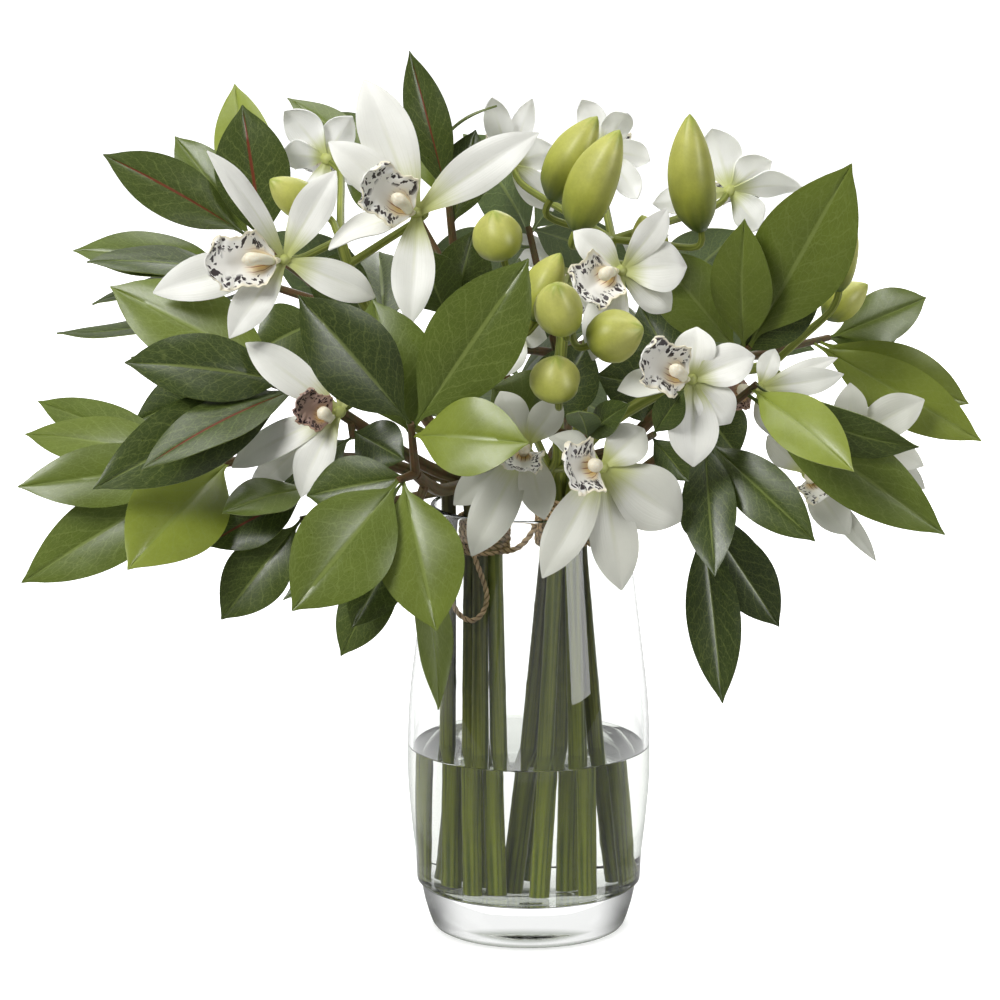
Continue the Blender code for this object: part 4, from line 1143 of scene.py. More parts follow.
# lines that run along a petal, stem or cord
def streakGroup():
    ins = [("Across", number, 0), ("Along", number, 0), ("Count", number, 30), ("Stretch", number, 1)]
    tree, enter, leave = newGroup("streaks", ins, [("Streak", number)])
    spot = addNode(tree, "ShaderNodeCombineXYZ", {
        0: calc(tree, "MULTIPLY", enter.outputs[0], enter.outputs[2]),
        1: calc(tree, "MULTIPLY", enter.outputs[1], enter.outputs[3])})
    tree.links.new(noiseOf(tree, spot.outputs[0], 1.0, 2.0), leave.inputs[0])
    return tree


# dark dashes round the rim of a lip, its warm throat and the lines down to it
def lipGroup():
    ins = [("Across", number, 0), ("Along", number, 0), ("Seed", number, 0)]
    outs = [("Spots", number), ("Throat", number), ("Lines", number)]
    tree, enter, leave = newGroup("lipMarks", ins, outs)
    across, along, seed = enter.outputs[0], enter.outputs[1], enter.outputs[2]
    out = calc(tree, "ABSOLUTE", across)
    narrow = calc(tree, "MULTIPLY", across, 0.34)
    spot = addNode(tree, "ShaderNodeCombineXYZ", {0: narrow, 1: along, 2: seed}).outputs[0]
    jitter = addNode(tree, "ShaderNodeTexNoise", {"Vector": spot, "Scale": 9.0, "Detail": 2.0})
    warp = vectorCalc(tree, "MULTIPLY", jitter.outputs["Color"], (0.16, 0.16, 0))
    bent = vectorCalc(tree, "ADD", spot, warp)
    dots = addNode(tree, "ShaderNodeTexVoronoi", {"Vector": bent, "Scale": 14.5, "Randomness": 0.85})
    size = addNode(tree, "ShaderNodeSeparateColor", {0: dots.outputs["Color"]}).outputs[0]
    limit = soften(tree, size, 0.1, 0.7, 0.27, 0.54)
    spots = soften(tree, calc(tree, "SUBTRACT", limit, dots.outputs["Distance"]), -0.02, 0.03)
    rim = calc(tree, "MAXIMUM", soften(tree, out, 0.40, 0.58), soften(tree, along, 0.70, 0.80))
    inSide = soften(tree, out, 0.88, 0.97, 1, 0)
    inEnd = soften(tree, along, 0.955, 0.99, 1, 0)
    band = calc(tree, "MULTIPLY", rim, calc(tree, "MULTIPLY", inSide, inEnd))
    band = calc(tree, "MULTIPLY", band, soften(tree, along, 0.08, 0.2))
    tree.links.new(calc(tree, "MULTIPLY", spots, band), leave.inputs[0])
    throat = calc(tree, "MULTIPLY", soften(tree, along, 0.18, 0.5, 1, 0), soften(tree, out, 0.2, 0.7, 1, 0))
    tree.links.new(throat, leave.inputs[1])
    wave = calc(tree, "SINE", calc(tree, "MULTIPLY", across, 30.0))
    lines = calc(tree, "MULTIPLY", soften(tree, wave, 0.7, 0.97), soften(tree, along, 0.30, 0.46, 1, 0))
    lines = calc(tree, "MULTIPLY", lines, soften(tree, out, 0.3, 0.55, 1, 0))
    tree.links.new(lines, leave.inputs[2])
    return tree


groups = {}


def makeGroups():
    groups["veins"] = veinGroup()
    groups["mottle"] = mottleGroup()
    groups["streaks"] = streakGroup()
    groups["lip"] = lipGroup()


def useGroup(tree, name, **inputs):
    made = tree.nodes.new("ShaderNodeGroup")
    made.node_tree = groups[name]
    for label, value in inputs.items():
        if isinstance(value, bpy.types.NodeSocket):
            tree.links.new(value, made.inputs[label])
        else:
            made.inputs[label].default_value = value
    return made.outputs


def newMaterial(name, **constants):
    material = bpy.data.materials.new(name)
    material.use_nodes = True
    shader = material.node_tree.nodes["Principled BSDF"]
    for label, value in constants.items():
        shader.inputs[label.replace("_", " ")].default_value = value
    return material, material.node_tree, shader


# place across (-1 to 1) and along (0 to 1) on a blade, from its own UV map
def bladePlace(tree):
    spread = addNode(tree, "ShaderNodeUVMap", uv_map="UVMap").outputs[0]
    parts = addNode(tree, "ShaderNodeSeparateXYZ", {0: spread})
    across = calc(tree, "MULTIPLY_ADD", parts.outputs[0], 2.0, -1.0)
    return across, parts.outputs[1]


def tintOf(tree):
    made = addNode(tree, "ShaderNodeAttribute", attribute_name="tint", attribute_type="GEOMETRY")
    return addNode(tree, "ShaderNodeSeparateColor", {0: made.outputs["Color"]}).outputs


def objectPlace(tree):
    return addNode(tree, "ShaderNodeTexCoord").outputs["Object"]


def bump(tree, shader, height, strength, distance):
    made = addNode(tree, "ShaderNodeBump", {"Height": height, "Strength": strength, "Distance": distance})
    tree.links.new(made.outputs[0], shader.inputs["Normal"])


# edge is a pale green painted on leaf rims as a highlight along the margins
leafLook = dict(
    dark=(0.034, 0.054, 0.009, 1), middle=(0.105, 0.145, 0.018, 1), pale=(0.24, 0.29, 0.035, 1),
    vein=(0.27, 0.33, 0.09, 1), redRib=(0.20, 0.030, 0.014, 1), edge=(0.32, 0.37, 0.12, 1),
    under=(0.16, 0.23, 0.09, 1),
)


# waxy upper side with sunken paler veins, or a duller underside where they stand out
def leafFace(under=False):
    gloss = 0.5 if under else 0.30
    material, tree, shader = newMaterial("leafUnder" if under else "leafUpper", Roughness=gloss)
    across, along = bladePlace(tree)
    tint = tintOf(tree)
    veins = useGroup(tree, "veins", Across=across, Along=along, Pairs=9.0, Seed=tint[2])
    ramp = addNode(tree, "ShaderNodeValToRGB", {0: tint[0]})
    ramp.color_ramp.elements[0].color = leafLook["dark"]
    ramp.color_ramp.elements[1].color = leafLook["pale"]
    ramp.color_ramp.elements.new(0.5).color = leafLook["middle"]
    tone = useGroup(tree, "mottle", Vector=objectPlace(tree), Scale=70.0, Amount=0.20)
    colour = blendColour(tree, 1.0, ramp.outputs[0], tone["Tone"], "MULTIPLY")
    if under:
        colour = blendColour(tree, 0.45, colour, leafLook["under"])
    colour = blendColour(tree, calc(tree, "MULTIPLY", veins["Net"], 0.24), colour, leafLook["vein"])
    colour = blendColour(tree, calc(tree, "MULTIPLY", veins["Side"], 0.21), colour, leafLook["vein"])
    ribColour = blendColour(tree, tint[1], leafLook["vein"], leafLook["redRib"])
    ribShare = calc(tree, "MULTIPLY", veins["Rib"], calc(tree, "MULTIPLY_ADD", tint[1], 0.35, 0.5))
    colour = blendColour(tree, ribShare, colour, ribColour)
    tree.links.new(colour, shader.inputs["Base Color"])
    rough = calc(tree, "MULTIPLY_ADD", tone["Grain"], 0.22, gloss - 0.08)
    tree.links.new(rough, shader.inputs["Roughness"])
    relief = calc(tree, "MULTIPLY_ADD", tone["Grain"], -0.35, veins["Height"])
    bump(tree, shader, relief, 0.35 if under else -0.35, 0.0006)
    return material


# leaf rims are painted a paler green: a painted highlight along the margins
def leafRimHighlight():
    material, tree, shader = newMaterial("leafRimHighlight", Roughness=0.4)
    tone = useGroup(tree, "mottle", Vector=objectPlace(tree), Scale=120.0, Amount=0.3)
    tint = tintOf(tree)
    share = calc(tree, "MULTIPLY_ADD", tint[0], 0.5, 0.25)
    colour = blendColour(tree, share, leafLook["middle"], leafLook["edge"])
    colour = blendColour(tree, 1.0, colour, tone["Tone"], "MULTIPLY")
    tree.links.new(colour, shader.inputs["Base Color"])
    return material


stemLook = dict(
    bark=((0.040, 0.044, 0.014, 1), (0.130, 0.120, 0.050, 1)),
    orchid=((0.13, 0.16, 0.025, 1), (0.27, 0.30, 0.06, 1)),
    wet=((0.052, 0.074, 0.007, 1), (0.175, 0.205, 0.013, 1)),
    wood=(0.12, 0.062, 0.028, 1),
)


# stems: streaked along their length, fresher and greener under the water
def stemSkin(kind):
    material, tree, shader = newMaterial(kind + "Stem", Roughness=0.45, Specular_IOR_Level=0.2)
    across, along = bladePlace(tree)
    streak = useGroup(tree, "streaks", Across=across, Along=along, Count=6.0, Stretch=0.1)[0]
    spot = objectPlace(tree)
    tone = useGroup(tree, "mottle", Vector=spot, Scale=45.0, Amount=0.25)
    colour = blendColour(tree, soften(tree, streak, 0.35, 0.65), stemLook[kind][0], stemLook[kind][1])
    height = addNode(tree, "ShaderNodeSeparateXYZ", {0: spot}).outputs[2]
    wet = soften(tree, height, 0.06, 0.20, 0.85, 0.0)
    soaked = blendColour(tree, soften(tree, streak, 0.36, 0.62), stemLook["wet"][0], stemLook["wet"][1])
    colour = blendColour(tree, wet, colour, soaked)
    if kind == "bark":  # brown wood above the vase
        patches = soften(tree, tone["Grain"], 0.35, 0.6, 0.2, 0.8)
        wood = calc(tree, "MULTIPLY", soften(tree, height, 0.19, 0.22), patches)
        colour = blendColour(tree, wood, colour, stemLook["wood"])
    colour = blendColour(tree, 1.0, colour, tone["Tone"], "MULTIPLY")
    tree.links.new(colour, shader.inputs["Base Color"])
    tree.links.new(calc(tree, "MULTIPLY_ADD", streak, 0.3, 0.28), shader.inputs["Roughness"])
    bump(tree, shader, streak, 0.5, 0.0006)
    return material


budLook = dict(
    base=(0.06, 0.10, 0.012, 1), body=(0.38, 0.40, 0.060, 1),
    tip=(0.54, 0.54, 0.14, 1), end=(0.36, 0.42, 0.07, 1),
)


def budSkin():
    material, tree, shader = newMaterial("budSkin", Specular_IOR_Level=0.45, Roughness=0.42)
    across, along = bladePlace(tree)
    streak = useGroup(tree, "streaks", Across=across, Along=along, Count=5.0, Stretch=1.5)[0]
    tone = useGroup(tree, "mottle", Vector=objectPlace(tree), Scale=110.0, Amount=0.24)
    where = calc(tree, "MULTIPLY_ADD", calc(tree, "SUBTRACT", streak, 0.5), 0.3, along)
    ramp = addNode(tree, "ShaderNodeValToRGB", {0: where})
    ramp.color_ramp.elements[0].color = budLook["base"]
    ramp.color_ramp.elements[1].color = budLook["end"]
    ramp.color_ramp.elements.new(0.38).color = budLook["body"]
    ramp.color_ramp.elements.new(0.86).color = budLook["tip"]
    colour = blendColour(tree, 1.0, ramp.outputs[0], tone["Tone"], "MULTIPLY")
    tree.links.new(colour, shader.inputs["Base Color"])
    bump(tree, shader, streak, 0.3, 0.0006)
    return material


# pale paints backlight on the blooms far back, and the cream-grey paints shade on the low front blooms
petalLook = dict(
    white=(0.84, 0.84, 0.775, 1), shade=(0.67, 0.67, 0.58, 1), green=(0.44, 0.48, 0.09, 1),
    pale=(0.95, 0.95, 0.93, 1), shadeCream=(0.54, 0.545, 0.46, 1),
)


def petalFace():
    material, tree, shader = newMaterial("petalFace", Roughness=0.42)
    across, along = bladePlace(tree)
    out = calc(tree, "ABSOLUTE", across)
    streak = useGroup(tree, "streaks", Across=across, Along=along, Count=16.0, Stretch=1.2)[0]
    tone = useGroup(tree, "mottle", Vector=objectPlace(tree), Scale=60.0, Amount=0.05)
    tint = tintOf(tree)
    stripe = soften(tree, streak, 0.5, 0.8, 0, 0.35)
    colour = blendColour(tree, stripe, petalLook["white"], petalLook["shade"])
    # painted backlight: blooms far back are made paler
    colour = blendColour(tree, tint[0], colour, petalLook["pale"])
    # painted shade: low front blooms are made a greyer cream
    colour = blendColour(tree, tint[1], colour, petalLook["shadeCream"])
    lower = soften(tree, along, 0.3, 0.8, 1, 0)
    keel = calc(tree, "MULTIPLY", soften(tree, out, 0.0, 0.14, 0.20, 0), lower)
    colour = blendColour(tree, keel, colour, petalLook["green"])
    reach = calc(tree, "MULTIPLY_ADD", streak, -0.16, along)
    colour = blendColour(tree, soften(tree, reach, -0.02, 0.32, 0.85, 0), colour, petalLook["green"])
    colour = blendColour(tree, 1.0, colour, tone["Tone"], "MULTIPLY")
    tree.links.new(colour, shader.inputs["Base Color"])
    tree.links.new(calc(tree, "MULTIPLY_ADD", tone["Grain"], 0.2, 0.34), shader.inputs["Roughness"])
    bump(tree, shader, streak, 0.22, 0.0006)
    return material


lipLook = dict(
    white=(0.86, 0.845, 0.79, 1), margin=(0.86, 0.80, 0.62, 1), spot=(0.014, 0.004, 0.007, 1),
    throat=(0.72, 0.50, 0.14, 1), line=(0.22, 0.035, 0.02, 1), russet=(0.24, 0.075, 0.035, 1),
    column=(0.86, 0.82, 0.66, 1), blush=(0.84, 0.70, 0.46, 1),
)


def lipFace():
    material, tree, shader = newMaterial("lipFace", Specular_IOR_Level=0.3, Roughness=0.40)
    across, along = bladePlace(tree)
    tint = tintOf(tree)
    marks = useGroup(tree, "lip", Across=across, Along=along, Seed=tint[2])
    out = calc(tree, "ABSOLUTE", across)
    colour = blendColour(tree, soften(tree, out, 0.8, 1.0), lipLook["white"], lipLook["margin"])
    colour = blendColour(tree, tint[1], colour, lipLook["russet"])
    colour = blendColour(tree, calc(tree, "MULTIPLY", marks["Throat"], 0.85), colour, lipLook["throat"])
    colour = blendColour(tree, calc(tree, "MULTIPLY", marks["Lines"], 0.8), colour, lipLook["line"])
    colour = blendColour(tree, calc(tree, "MULTIPLY", marks["Spots"], 0.96), colour, lipLook["spot"])
    tree.links.new(colour, shader.inputs["Base Color"])
    tone = useGroup(tree, "mottle", Vector=objectPlace(tree), Scale=150.0, Amount=0.1)
    bump(tree, shader, tone["Tone"], 0.3, 0.0005)
    return material


def columnWax():
    material, tree, shader = newMaterial("columnWax", Roughness=0.35)
    along = bladePlace(tree)[1]
    tone = useGroup(tree, "mottle", Vector=objectPlace(tree), Scale=160.0, Amount=0.1)
    patches = soften(tree, tone["Grain"], 0.4, 0.7, 0.1, 0.7)
    blush = calc(tree, "MULTIPLY", soften(tree, along, 0.35, 0.75), patches)
    colour = blendColour(tree, blush, lipLook["column"], lipLook["blush"])
    colour = blendColour(tree, soften(tree, along, 0.0, 0.3, 0.7, 0), colour, petalLook["green"])
    tree.links.new(colour, shader.inputs["Base Color"])
    bump(tree, shader, tone["Grain"], 0.2, 0.0004)
    return material


twineLook = dict(light=(0.80, 0.58, 0.33, 1), dark=(0.30, 0.18, 0.08, 1))


# two plies of jute: fibres run aslant, and the groove between the plies is painted darker, a painted shade
def twineJute():
    material, tree, shader = newMaterial("twineJute", Roughness=0.85)
    across, along = bladePlace(tree)
    groove = calc(tree, "ABSOLUTE", calc(tree, "SINE", calc(tree, "MULTIPLY", across, math.pi)))
    aslant = calc(tree, "MULTIPLY_ADD", along, 0.4, across)
    fibre = useGroup(tree, "streaks", Across=aslant, Along=along, Count=12.0, Stretch=1.5)[0]
    tone = useGroup(tree, "mottle", Vector=objectPlace(tree), Scale=220.0, Amount=0.5)
    # painted shade in the groove between the plies; the fibres add real changes of tone
    share = soften(tree, groove, 1.0, 0.8, 0.0, 1.0)
    share = calc(tree, "MULTIPLY", share, soften(tree, fibre, 0.25, 0.6, 0.45, 1.0))
    colour = blendColour(tree, share, twineLook["dark"], twineLook["light"])
    colour = blendColour(tree, 1.0, colour, tone["Tone"], "MULTIPLY")
    tree.links.new(colour, shader.inputs["Base Color"])
    bump(tree, shader, fibre, 0.8, 0.0006)
    return material


glassLook = dict(
    clear=(0.985, 0.995, 0.985, 1), deep=(0.28, 0.32, 0.28, 1), seatShade=(0.16, 0.19, 0.14, 1),
    lampShare=0.88,
)
waterLook = dict(clear=(0.975, 0.985, 0.955, 1), deep=(0.34, 0.38, 0.30, 1))


# the long way through the wall at its edges takes some light
def edgeTint(tree, low, clear, deep):
    facing = addNode(tree, "ShaderNodeLayerWeight", {"Blend": 0.5}).outputs["Facing"]
    return blendColour(tree, soften(tree, facing, low, 0.98), clear, deep)


# lamps shine through the wall on to the stems
def letLightIn(tree, shader):
    shade = addNode(tree, "ShaderNodeLightPath").outputs["Is Shadow Ray"]
    tree.links.new(calc(tree, "MULTIPLY_ADD", shade, -glassLook["lampShare"], 1.0), shader.inputs["Alpha"])


def vaseGlass():
    material, tree, shader = newMaterial("vaseGlass", IOR=1.5, Transmission_Weight=1.0, Roughness=0.0)
    letLightIn(tree, shader)
    haze = useGroup(tree, "mottle", Vector=objectPlace(tree), Scale=40.0, Amount=0.3)
    tree.links.new(soften(tree, haze["Tone"], 1.2, 1.6, 0.0, 0.03), shader.inputs["Roughness"])
    colour = edgeTint(tree, 0.66, glassLook["clear"], glassLook["deep"])
    spot = objectPlace(tree)
    flat = vectorCalc(tree, "MULTIPLY", spot, (1, 1, 0))
    reach = vectorCalc(tree, "DISTANCE", flat, (0, 0, 0), "Value")
    height = addNode(tree, "ShaderNodeSeparateXYZ", {0: spot}).outputs[2]
    # painted shade: the glass is darkened round the bottom rim
    low = soften(tree, height, 0.0012, 0.0030, 0.85, 0)
    ring = calc(tree, "MULTIPLY", low, soften(tree, reach, 0.0395, 0.0410))
    colour = blendColour(tree, ring, colour, glassLook["seatShade"])  # the ring that it stands on is painted dark: a painted shade along the bottom rim
    tree.links.new(colour, shader.inputs["Base Color"])
    return material


def vaseWater():
    material, tree, shader = newMaterial("vaseWater", IOR=1.333, Transmission_Weight=1.0, Roughness=0.0)
    letLightIn(tree, shader)
    colour = edgeTint(tree, 0.55, waterLook["clear"], waterLook["deep"])
    tree.links.new(colour, shader.inputs["Base Color"])
    ripple = useGroup(tree, "mottle", Vector=objectPlace(tree), Scale=5.0, Amount=0.4)
    bump(tree, shader, ripple["Tone"], 0.10, 0.0010)
    return material


materials = {}


def makeMaterials():
    makeGroups()
    materials["leafUpper"] = leafFace()
    materials["leafUnder"] = leafFace(under=True)
    materials["leafRimHighlight"] = leafRimHighlight()
    materials["barkStem"] = stemSkin("bark")
    materials["orchidStem"] = stemSkin("orchid")
    materials["bud"] = budSkin()
    materials["petal"] = petalFace()
    materials["lip"] = lipFace()
    materials["column"] = columnWax()
    materials["twine"] = twineJute()
    materials["glass"] = vaseGlass()
    materials["water"] = vaseWater()
    print("materials made", len(materials))


# Masters: flat sheets that every blade and stem is bent from
def deselect():
    for obj in list(bpy.context.selected_objects):
        obj.select_set(False)


def sheetMaster(name, form, slots):
    deselect()
    bpy.ops.mesh.primitive_grid_add(x_subdivisions=form["across"], y_subdivisions=form["rows"], size=2)
    master = bpy.context.object
    master.name = name
    spread = form.get("spread", 1.0)
    for corner in master.data.vertices:  # columns closer near the midrib
        corner.co.x = math.copysign(abs(corner.co.x) ** spread, corner.co.x)
    master.data.uv_layers[0].name = "UVMap"
    for mark in master.data.uv_layers["UVMap"].data:
        u = mark.uv.x * 2 - 1
        mark.uv.x = (math.copysign(abs(u) ** spread, u) + 1) / 2
    for slot in slots:
        master.data.materials.append(materials[slot])
    return master


def copyOf(master):
    made = master.copy()
    made.data = master.data.copy()
    bpy.context.scene.collection.objects.link(made)
    return made


def stain(obj, colour):
    tint = obj.data.color_attributes.new("tint", "FLOAT_COLOR", "POINT")
    for corner in tint.data:
        corner.color = colour


# the share at t on a smooth line through an outline's points
def shareAt(outline, t):
    for i in range(len(outline) - 1):
        if t <= outline[i + 1][0]:
            break
    t1, y1 = outline[i]
    t2, y2 = outline[i + 1]
    t0, y0 = outline[max(i - 1, 0)]
    t3, y3 = outline[min(i + 2, len(outline) - 1)]
    slope1 = (y2 - y0) / max(t2 - t0, 1e-6) * (t2 - t1)
    slope2 = (y3 - y1) / max(t3 - t1, 1e-6) * (t2 - t1)
    s = (t - t1) / (t2 - t1)
    return ((2 * s ** 3 - 3 * s * s + 1) * y1 + (s ** 3 - 2 * s * s + s) * slope1
            + (3 * s * s - 2 * s ** 3) * y2 + (s ** 3 - s * s) * slope2)


leafForm = dict(
    rows=32, across=12, spread=1.35, thickness=0.5, wave=0.5, groove=0.4, recurve=0.62,
    outline=[(0, 0.055), (0.05, 0.05), (0.10, 0.10), (0.18, 0.36), (0.3, 0.72), (0.44, 0.95), (0.56, 1.0),
             (0.68, 0.91), (0.8, 0.68), (0.9, 0.37), (0.96, 0.13), (1, 0.012)],
)
tepalForm = dict(
    rows=26, across=12, thickness=0.6, wave=0.7, twist=0.10, curl=2.2,
    outline=[(0, 0.22), (0.08, 0.34), (0.24, 0.68), (0.4, 0.92), (0.54, 1.0), (0.68, 0.93), (0.8, 0.72),
             (0.89, 0.46), (0.955, 0.21), (1, 0.03)],
)
lipForm = dict(
    rows=34, across=22, thickness=0.55, wave=1.7, lobe=0.5, frill=0.026, russet=("bloom_f", "bloom_h"),
    outline=[(0, 0.24), (0.07, 0.5), (0.16, 0.78), (0.27, 0.92), (0.39, 0.9), (0.5, 0.82), (0.6, 0.84),
             (0.7, 0.91), (0.79, 0.92), (0.87, 0.85), (0.93, 0.73), (0.975, 0.57), (1, 0.40)],
)


# how far a blade's face rises at the place k across and t along
def leafLift(k, t, half, fold, phase):
    out = abs(k)
    lift = fold * half * (out - leafForm["recurve"] * out ** 3)
    ripple = math.sin(phase + 13 * t + (1.9 if k > 0 else 0)) * out ** 3
    quilt = 0.10 * math.cos(2 * math.pi * 9 * (t - 0.26 * out)) * out * (1 - out) * 2
    groove = leafForm["groove"] * math.exp(-(k / 0.07) ** 2)
    return lift + leafForm["wave"] * ripple * min(half / 8, 1) + quilt - groove


def tepalLift(k, t, half, fold, phase):
    out = abs(k)
    lift = 0.22 * half * out - 0.34 * half * max(0, out - 0.45) ** 2
    ripple = math.sin(phase + 11 * t + (2.3 if k > 0 else 0)) * out ** 2
    turn = tepalForm["twist"] * half * k * math.sin(phase + 3.5 * t)
    back = tepalForm["curl"] * max(0, t - 0.72) ** 2 / 0.078
    return lift + tepalForm["wave"] * ripple * min(half / 6, 1) + turn - back


def lipLift(k, t, half, fold, phase):
    out = abs(k)
    lobe = lipForm["lobe"] * math.cos(math.pi / 2 * min(abs(t - 0.28) / 0.46, 1)) ** 2
    ruffle = math.sin(phase + 33 * t + 6 * k) * out ** 2 * max(0, t - 0.35) * 1.5
    crimp = 0.32 * math.sin(phase + 47 * t) * out ** 3
    droop = 3.0 * max(0, t - 0.62) ** 2 * half / 3
    cup = fold * out * (1 - 0.6 * max(0, t - 0.5)) + lobe * out ** 1.7
    return half * cup + lipForm["wave"] * ruffle + crimp - droop


# a sheet bent into the same shape as the CAD's blade, with its own outline and waves
def growBlade(master, shape, lift, form, seed, colour):
    base, tip, width, look, roll, arch, fold = shape[:7]
    phase = random.Random(seed).uniform(0, 6.28)
    axis = tip - base
    length = axis.length
    axis = axis / length
    face = turnedFace(axis, look, roll)
    side = axis.cross(face)
    middle = (base + tip) / 2 + face * (2 * arch * length)
    made = copyOf(master)
    blunt = form["outline"][-1][1]
    for corner in made.data.vertices:
        k = corner.co.x
        t = (corner.co.y + 1) / 2
        centre = base * (1 - t) ** 2 + middle * (2 * t * (1 - t)) + tip * t * t
        along = ((middle - base) * (1 - t) + (tip - middle) * t).normalized()
        up = side.cross(along)
        frill = 1 + form.get("frill", 0) * math.sin(phase + 44 * t + 2 * k)
        half = width / 2 * shareAt(form["outline"], t) * frill
        spot = centre + side * (half * k) + up * lift(k, t, half, fold, phase)
        if blunt > 0.2:  # a rounded end
            spot = spot - along * (half * k * k * 0.5 * max(0, (t - 0.7) / 0.3) ** 2)
        corner.co = spot * mm
    stain(made, colour)
    return made


# even steps along a line with its corners eased
def evenLine(line, count, ease):
    lengths = [0.0]
    for a, b in zip(line, line[1:]):
        lengths.append(lengths[-1] + (b - a).length)
    spots = []
    k = 0
    for i in range(count):
        want = lengths[-1] * i / (count - 1)
        while k < len(line) - 2 and lengths[k + 1] < want:
            k += 1
        share = (want - lengths[k]) / max(lengths[k + 1] - lengths[k], 1e-9)
        spots.append((line[k].lerp(line[k + 1], share), k + share))
    points = [spot for spot, place in spots]
    for turn in range(ease):
        inside = [(points[i - 1] + points[i] * 2 + points[i + 1]) / 4 for i in range(1, count - 1)]
        points = [points[0]] + inside + [points[-1]]
    return points, [place for spot, place in spots], lengths[-1]


# Rods: the columns of a sheet go round, and its rows run along
stemForm = dict(rows=60, across=14, ease=2, joint=0.05, foot=(1.2, 1.06))
twigForm = dict(rows=18, across=10, ease=2)
budForm = dict(
    rows=26, across=24, ease=0, ridge=0.13, stout=1.03, bow=0.03,
    share=[(0, 0.26), (0.06, 0.52), (0.16, 0.82), (0.32, 0.98), (0.46, 1.0), (0.62, 0.9), (0.78, 0.66),
           (0.9, 0.38), (0.97, 0.17), (1, 0.03)],
)
heartForm = dict(
    rows=10, across=12, ease=0, radius=2.6,
    share=[(0, 0.1), (0.1, 0.6), (0.3, 0.92), (0.5, 1.0), (0.7, 0.92), (0.9, 0.6), (1, 0.1)],
)
columnForm = dict(
    rows=16, across=14, ease=1,
    share=[(0, 0.85), (0.3, 0.95), (0.62, 1.0), (0.8, 1.08), (0.92, 0.8), (1, 0.2)],
)
neckForm = dict(rows=16, ease=0, share=[(0, 0.9), (1, 1)])


# a sheet rolled into a round rod along a line: a stem, a bud, a column or a bloom's middle
def growRod(master, form, line, radii):
    rings = form["rows"]
    share = form.get("share")
    joint = form.get("joint", 0)
    ridge = form.get("ridge", 0)
    points, places, length = evenLine(line, rings + 1, form["ease"])
    sizes = []
    frames = []
    across = (points[1] - points[0]).normalized().orthogonal().normalized()
    for i in range(rings + 1):
        ahead = (points[min(i + 1, rings)] - points[max(i - 1, 0)]).normalized()
        across = (across - ahead * across.dot(ahead)).normalized()
        frames.append((across.copy(), ahead.cross(across)))
        low = min(int(places[i]), len(radii) - 2)
        size = radii[low] + (radii[low + 1] - radii[low]) * (places[i] - low)
        if share:
            size = size * max(shareAt(share, i / rings), 0.02)
        if joint:  # a swelling in every 37 mm
            off = (i / rings * length) % 37 - 18
            size = size * (1 + joint * math.exp(-off ** 2 / 5))
        sizes.append(size)
    made = copyOf(master)
    for corner in made.data.vertices:
        row = round((corner.co.y + 1) / 2 * rings)
        angle = math.pi * corner.co.x
        a, b = frames[row]
        middle = max(math.sin(math.pi * row / rings), 0) ** 0.6
        size = sizes[row] * (1 - ridge * (1 - abs(math.cos(1.5 * angle))) * middle)
        corner.co = (points[row] + (a * math.cos(angle) + b * math.sin(angle)) * size) * mm
    if not share:  # stems have streaks of one length, long or short
        for mark in made.data.uv_layers["UVMap"].data:
            mark.uv.y = mark.uv.y * length / 10
    shape = bmesh.new()
    shape.from_mesh(made.data)
    bmesh.ops.remove_doubles(shape, verts=shape.verts, dist=0.000004)
    bmesh.ops.holes_fill(shape, edges=shape.edges, sides=0)
    bmesh.ops.recalc_face_normals(shape, faces=shape.faces)
    for side in shape.faces:
        side.smooth = True
    shape.to_mesh(made.data)
    shape.free()
    return made


def joinAll(name, parts):
    deselect()
    for part in parts:
        part.select_set(True)
    bpy.context.view_layer.objects.active = parts[0]
    if len(parts) > 1:
        bpy.ops.object.join()
    made = bpy.context.view_layer.objects.active
    made.name = name
    made.data.name = name
    return made


# blades get their thickness, with a finish of their own on the underside and a paler rim that paints an edge
# highlight
def thicken(obj, thickness, under=0, rim=0):
    bpy.context.view_layer.objects.active = obj
    wall = obj.modifiers.new("thickness", "SOLIDIFY")
    wall.thickness = thickness * mm
    wall.offset = 0.0
    wall.material_offset = under
    wall.material_offset_rim = rim
    bpy.ops.object.modifier_apply(modifier=wall.name)


def settle(obj, node):
    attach(obj, "root")
    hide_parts(node)


def smoothOver(obj, degrees):
    deselect()
    obj.select_set(True)
    bpy.context.view_layer.objects.active = obj
    bpy.ops.object.shade_smooth_by_angle(angle=math.radians(degrees))


def lengthOf(line):
    return sum((b - a).length for a, b in zip(line, line[1:]))


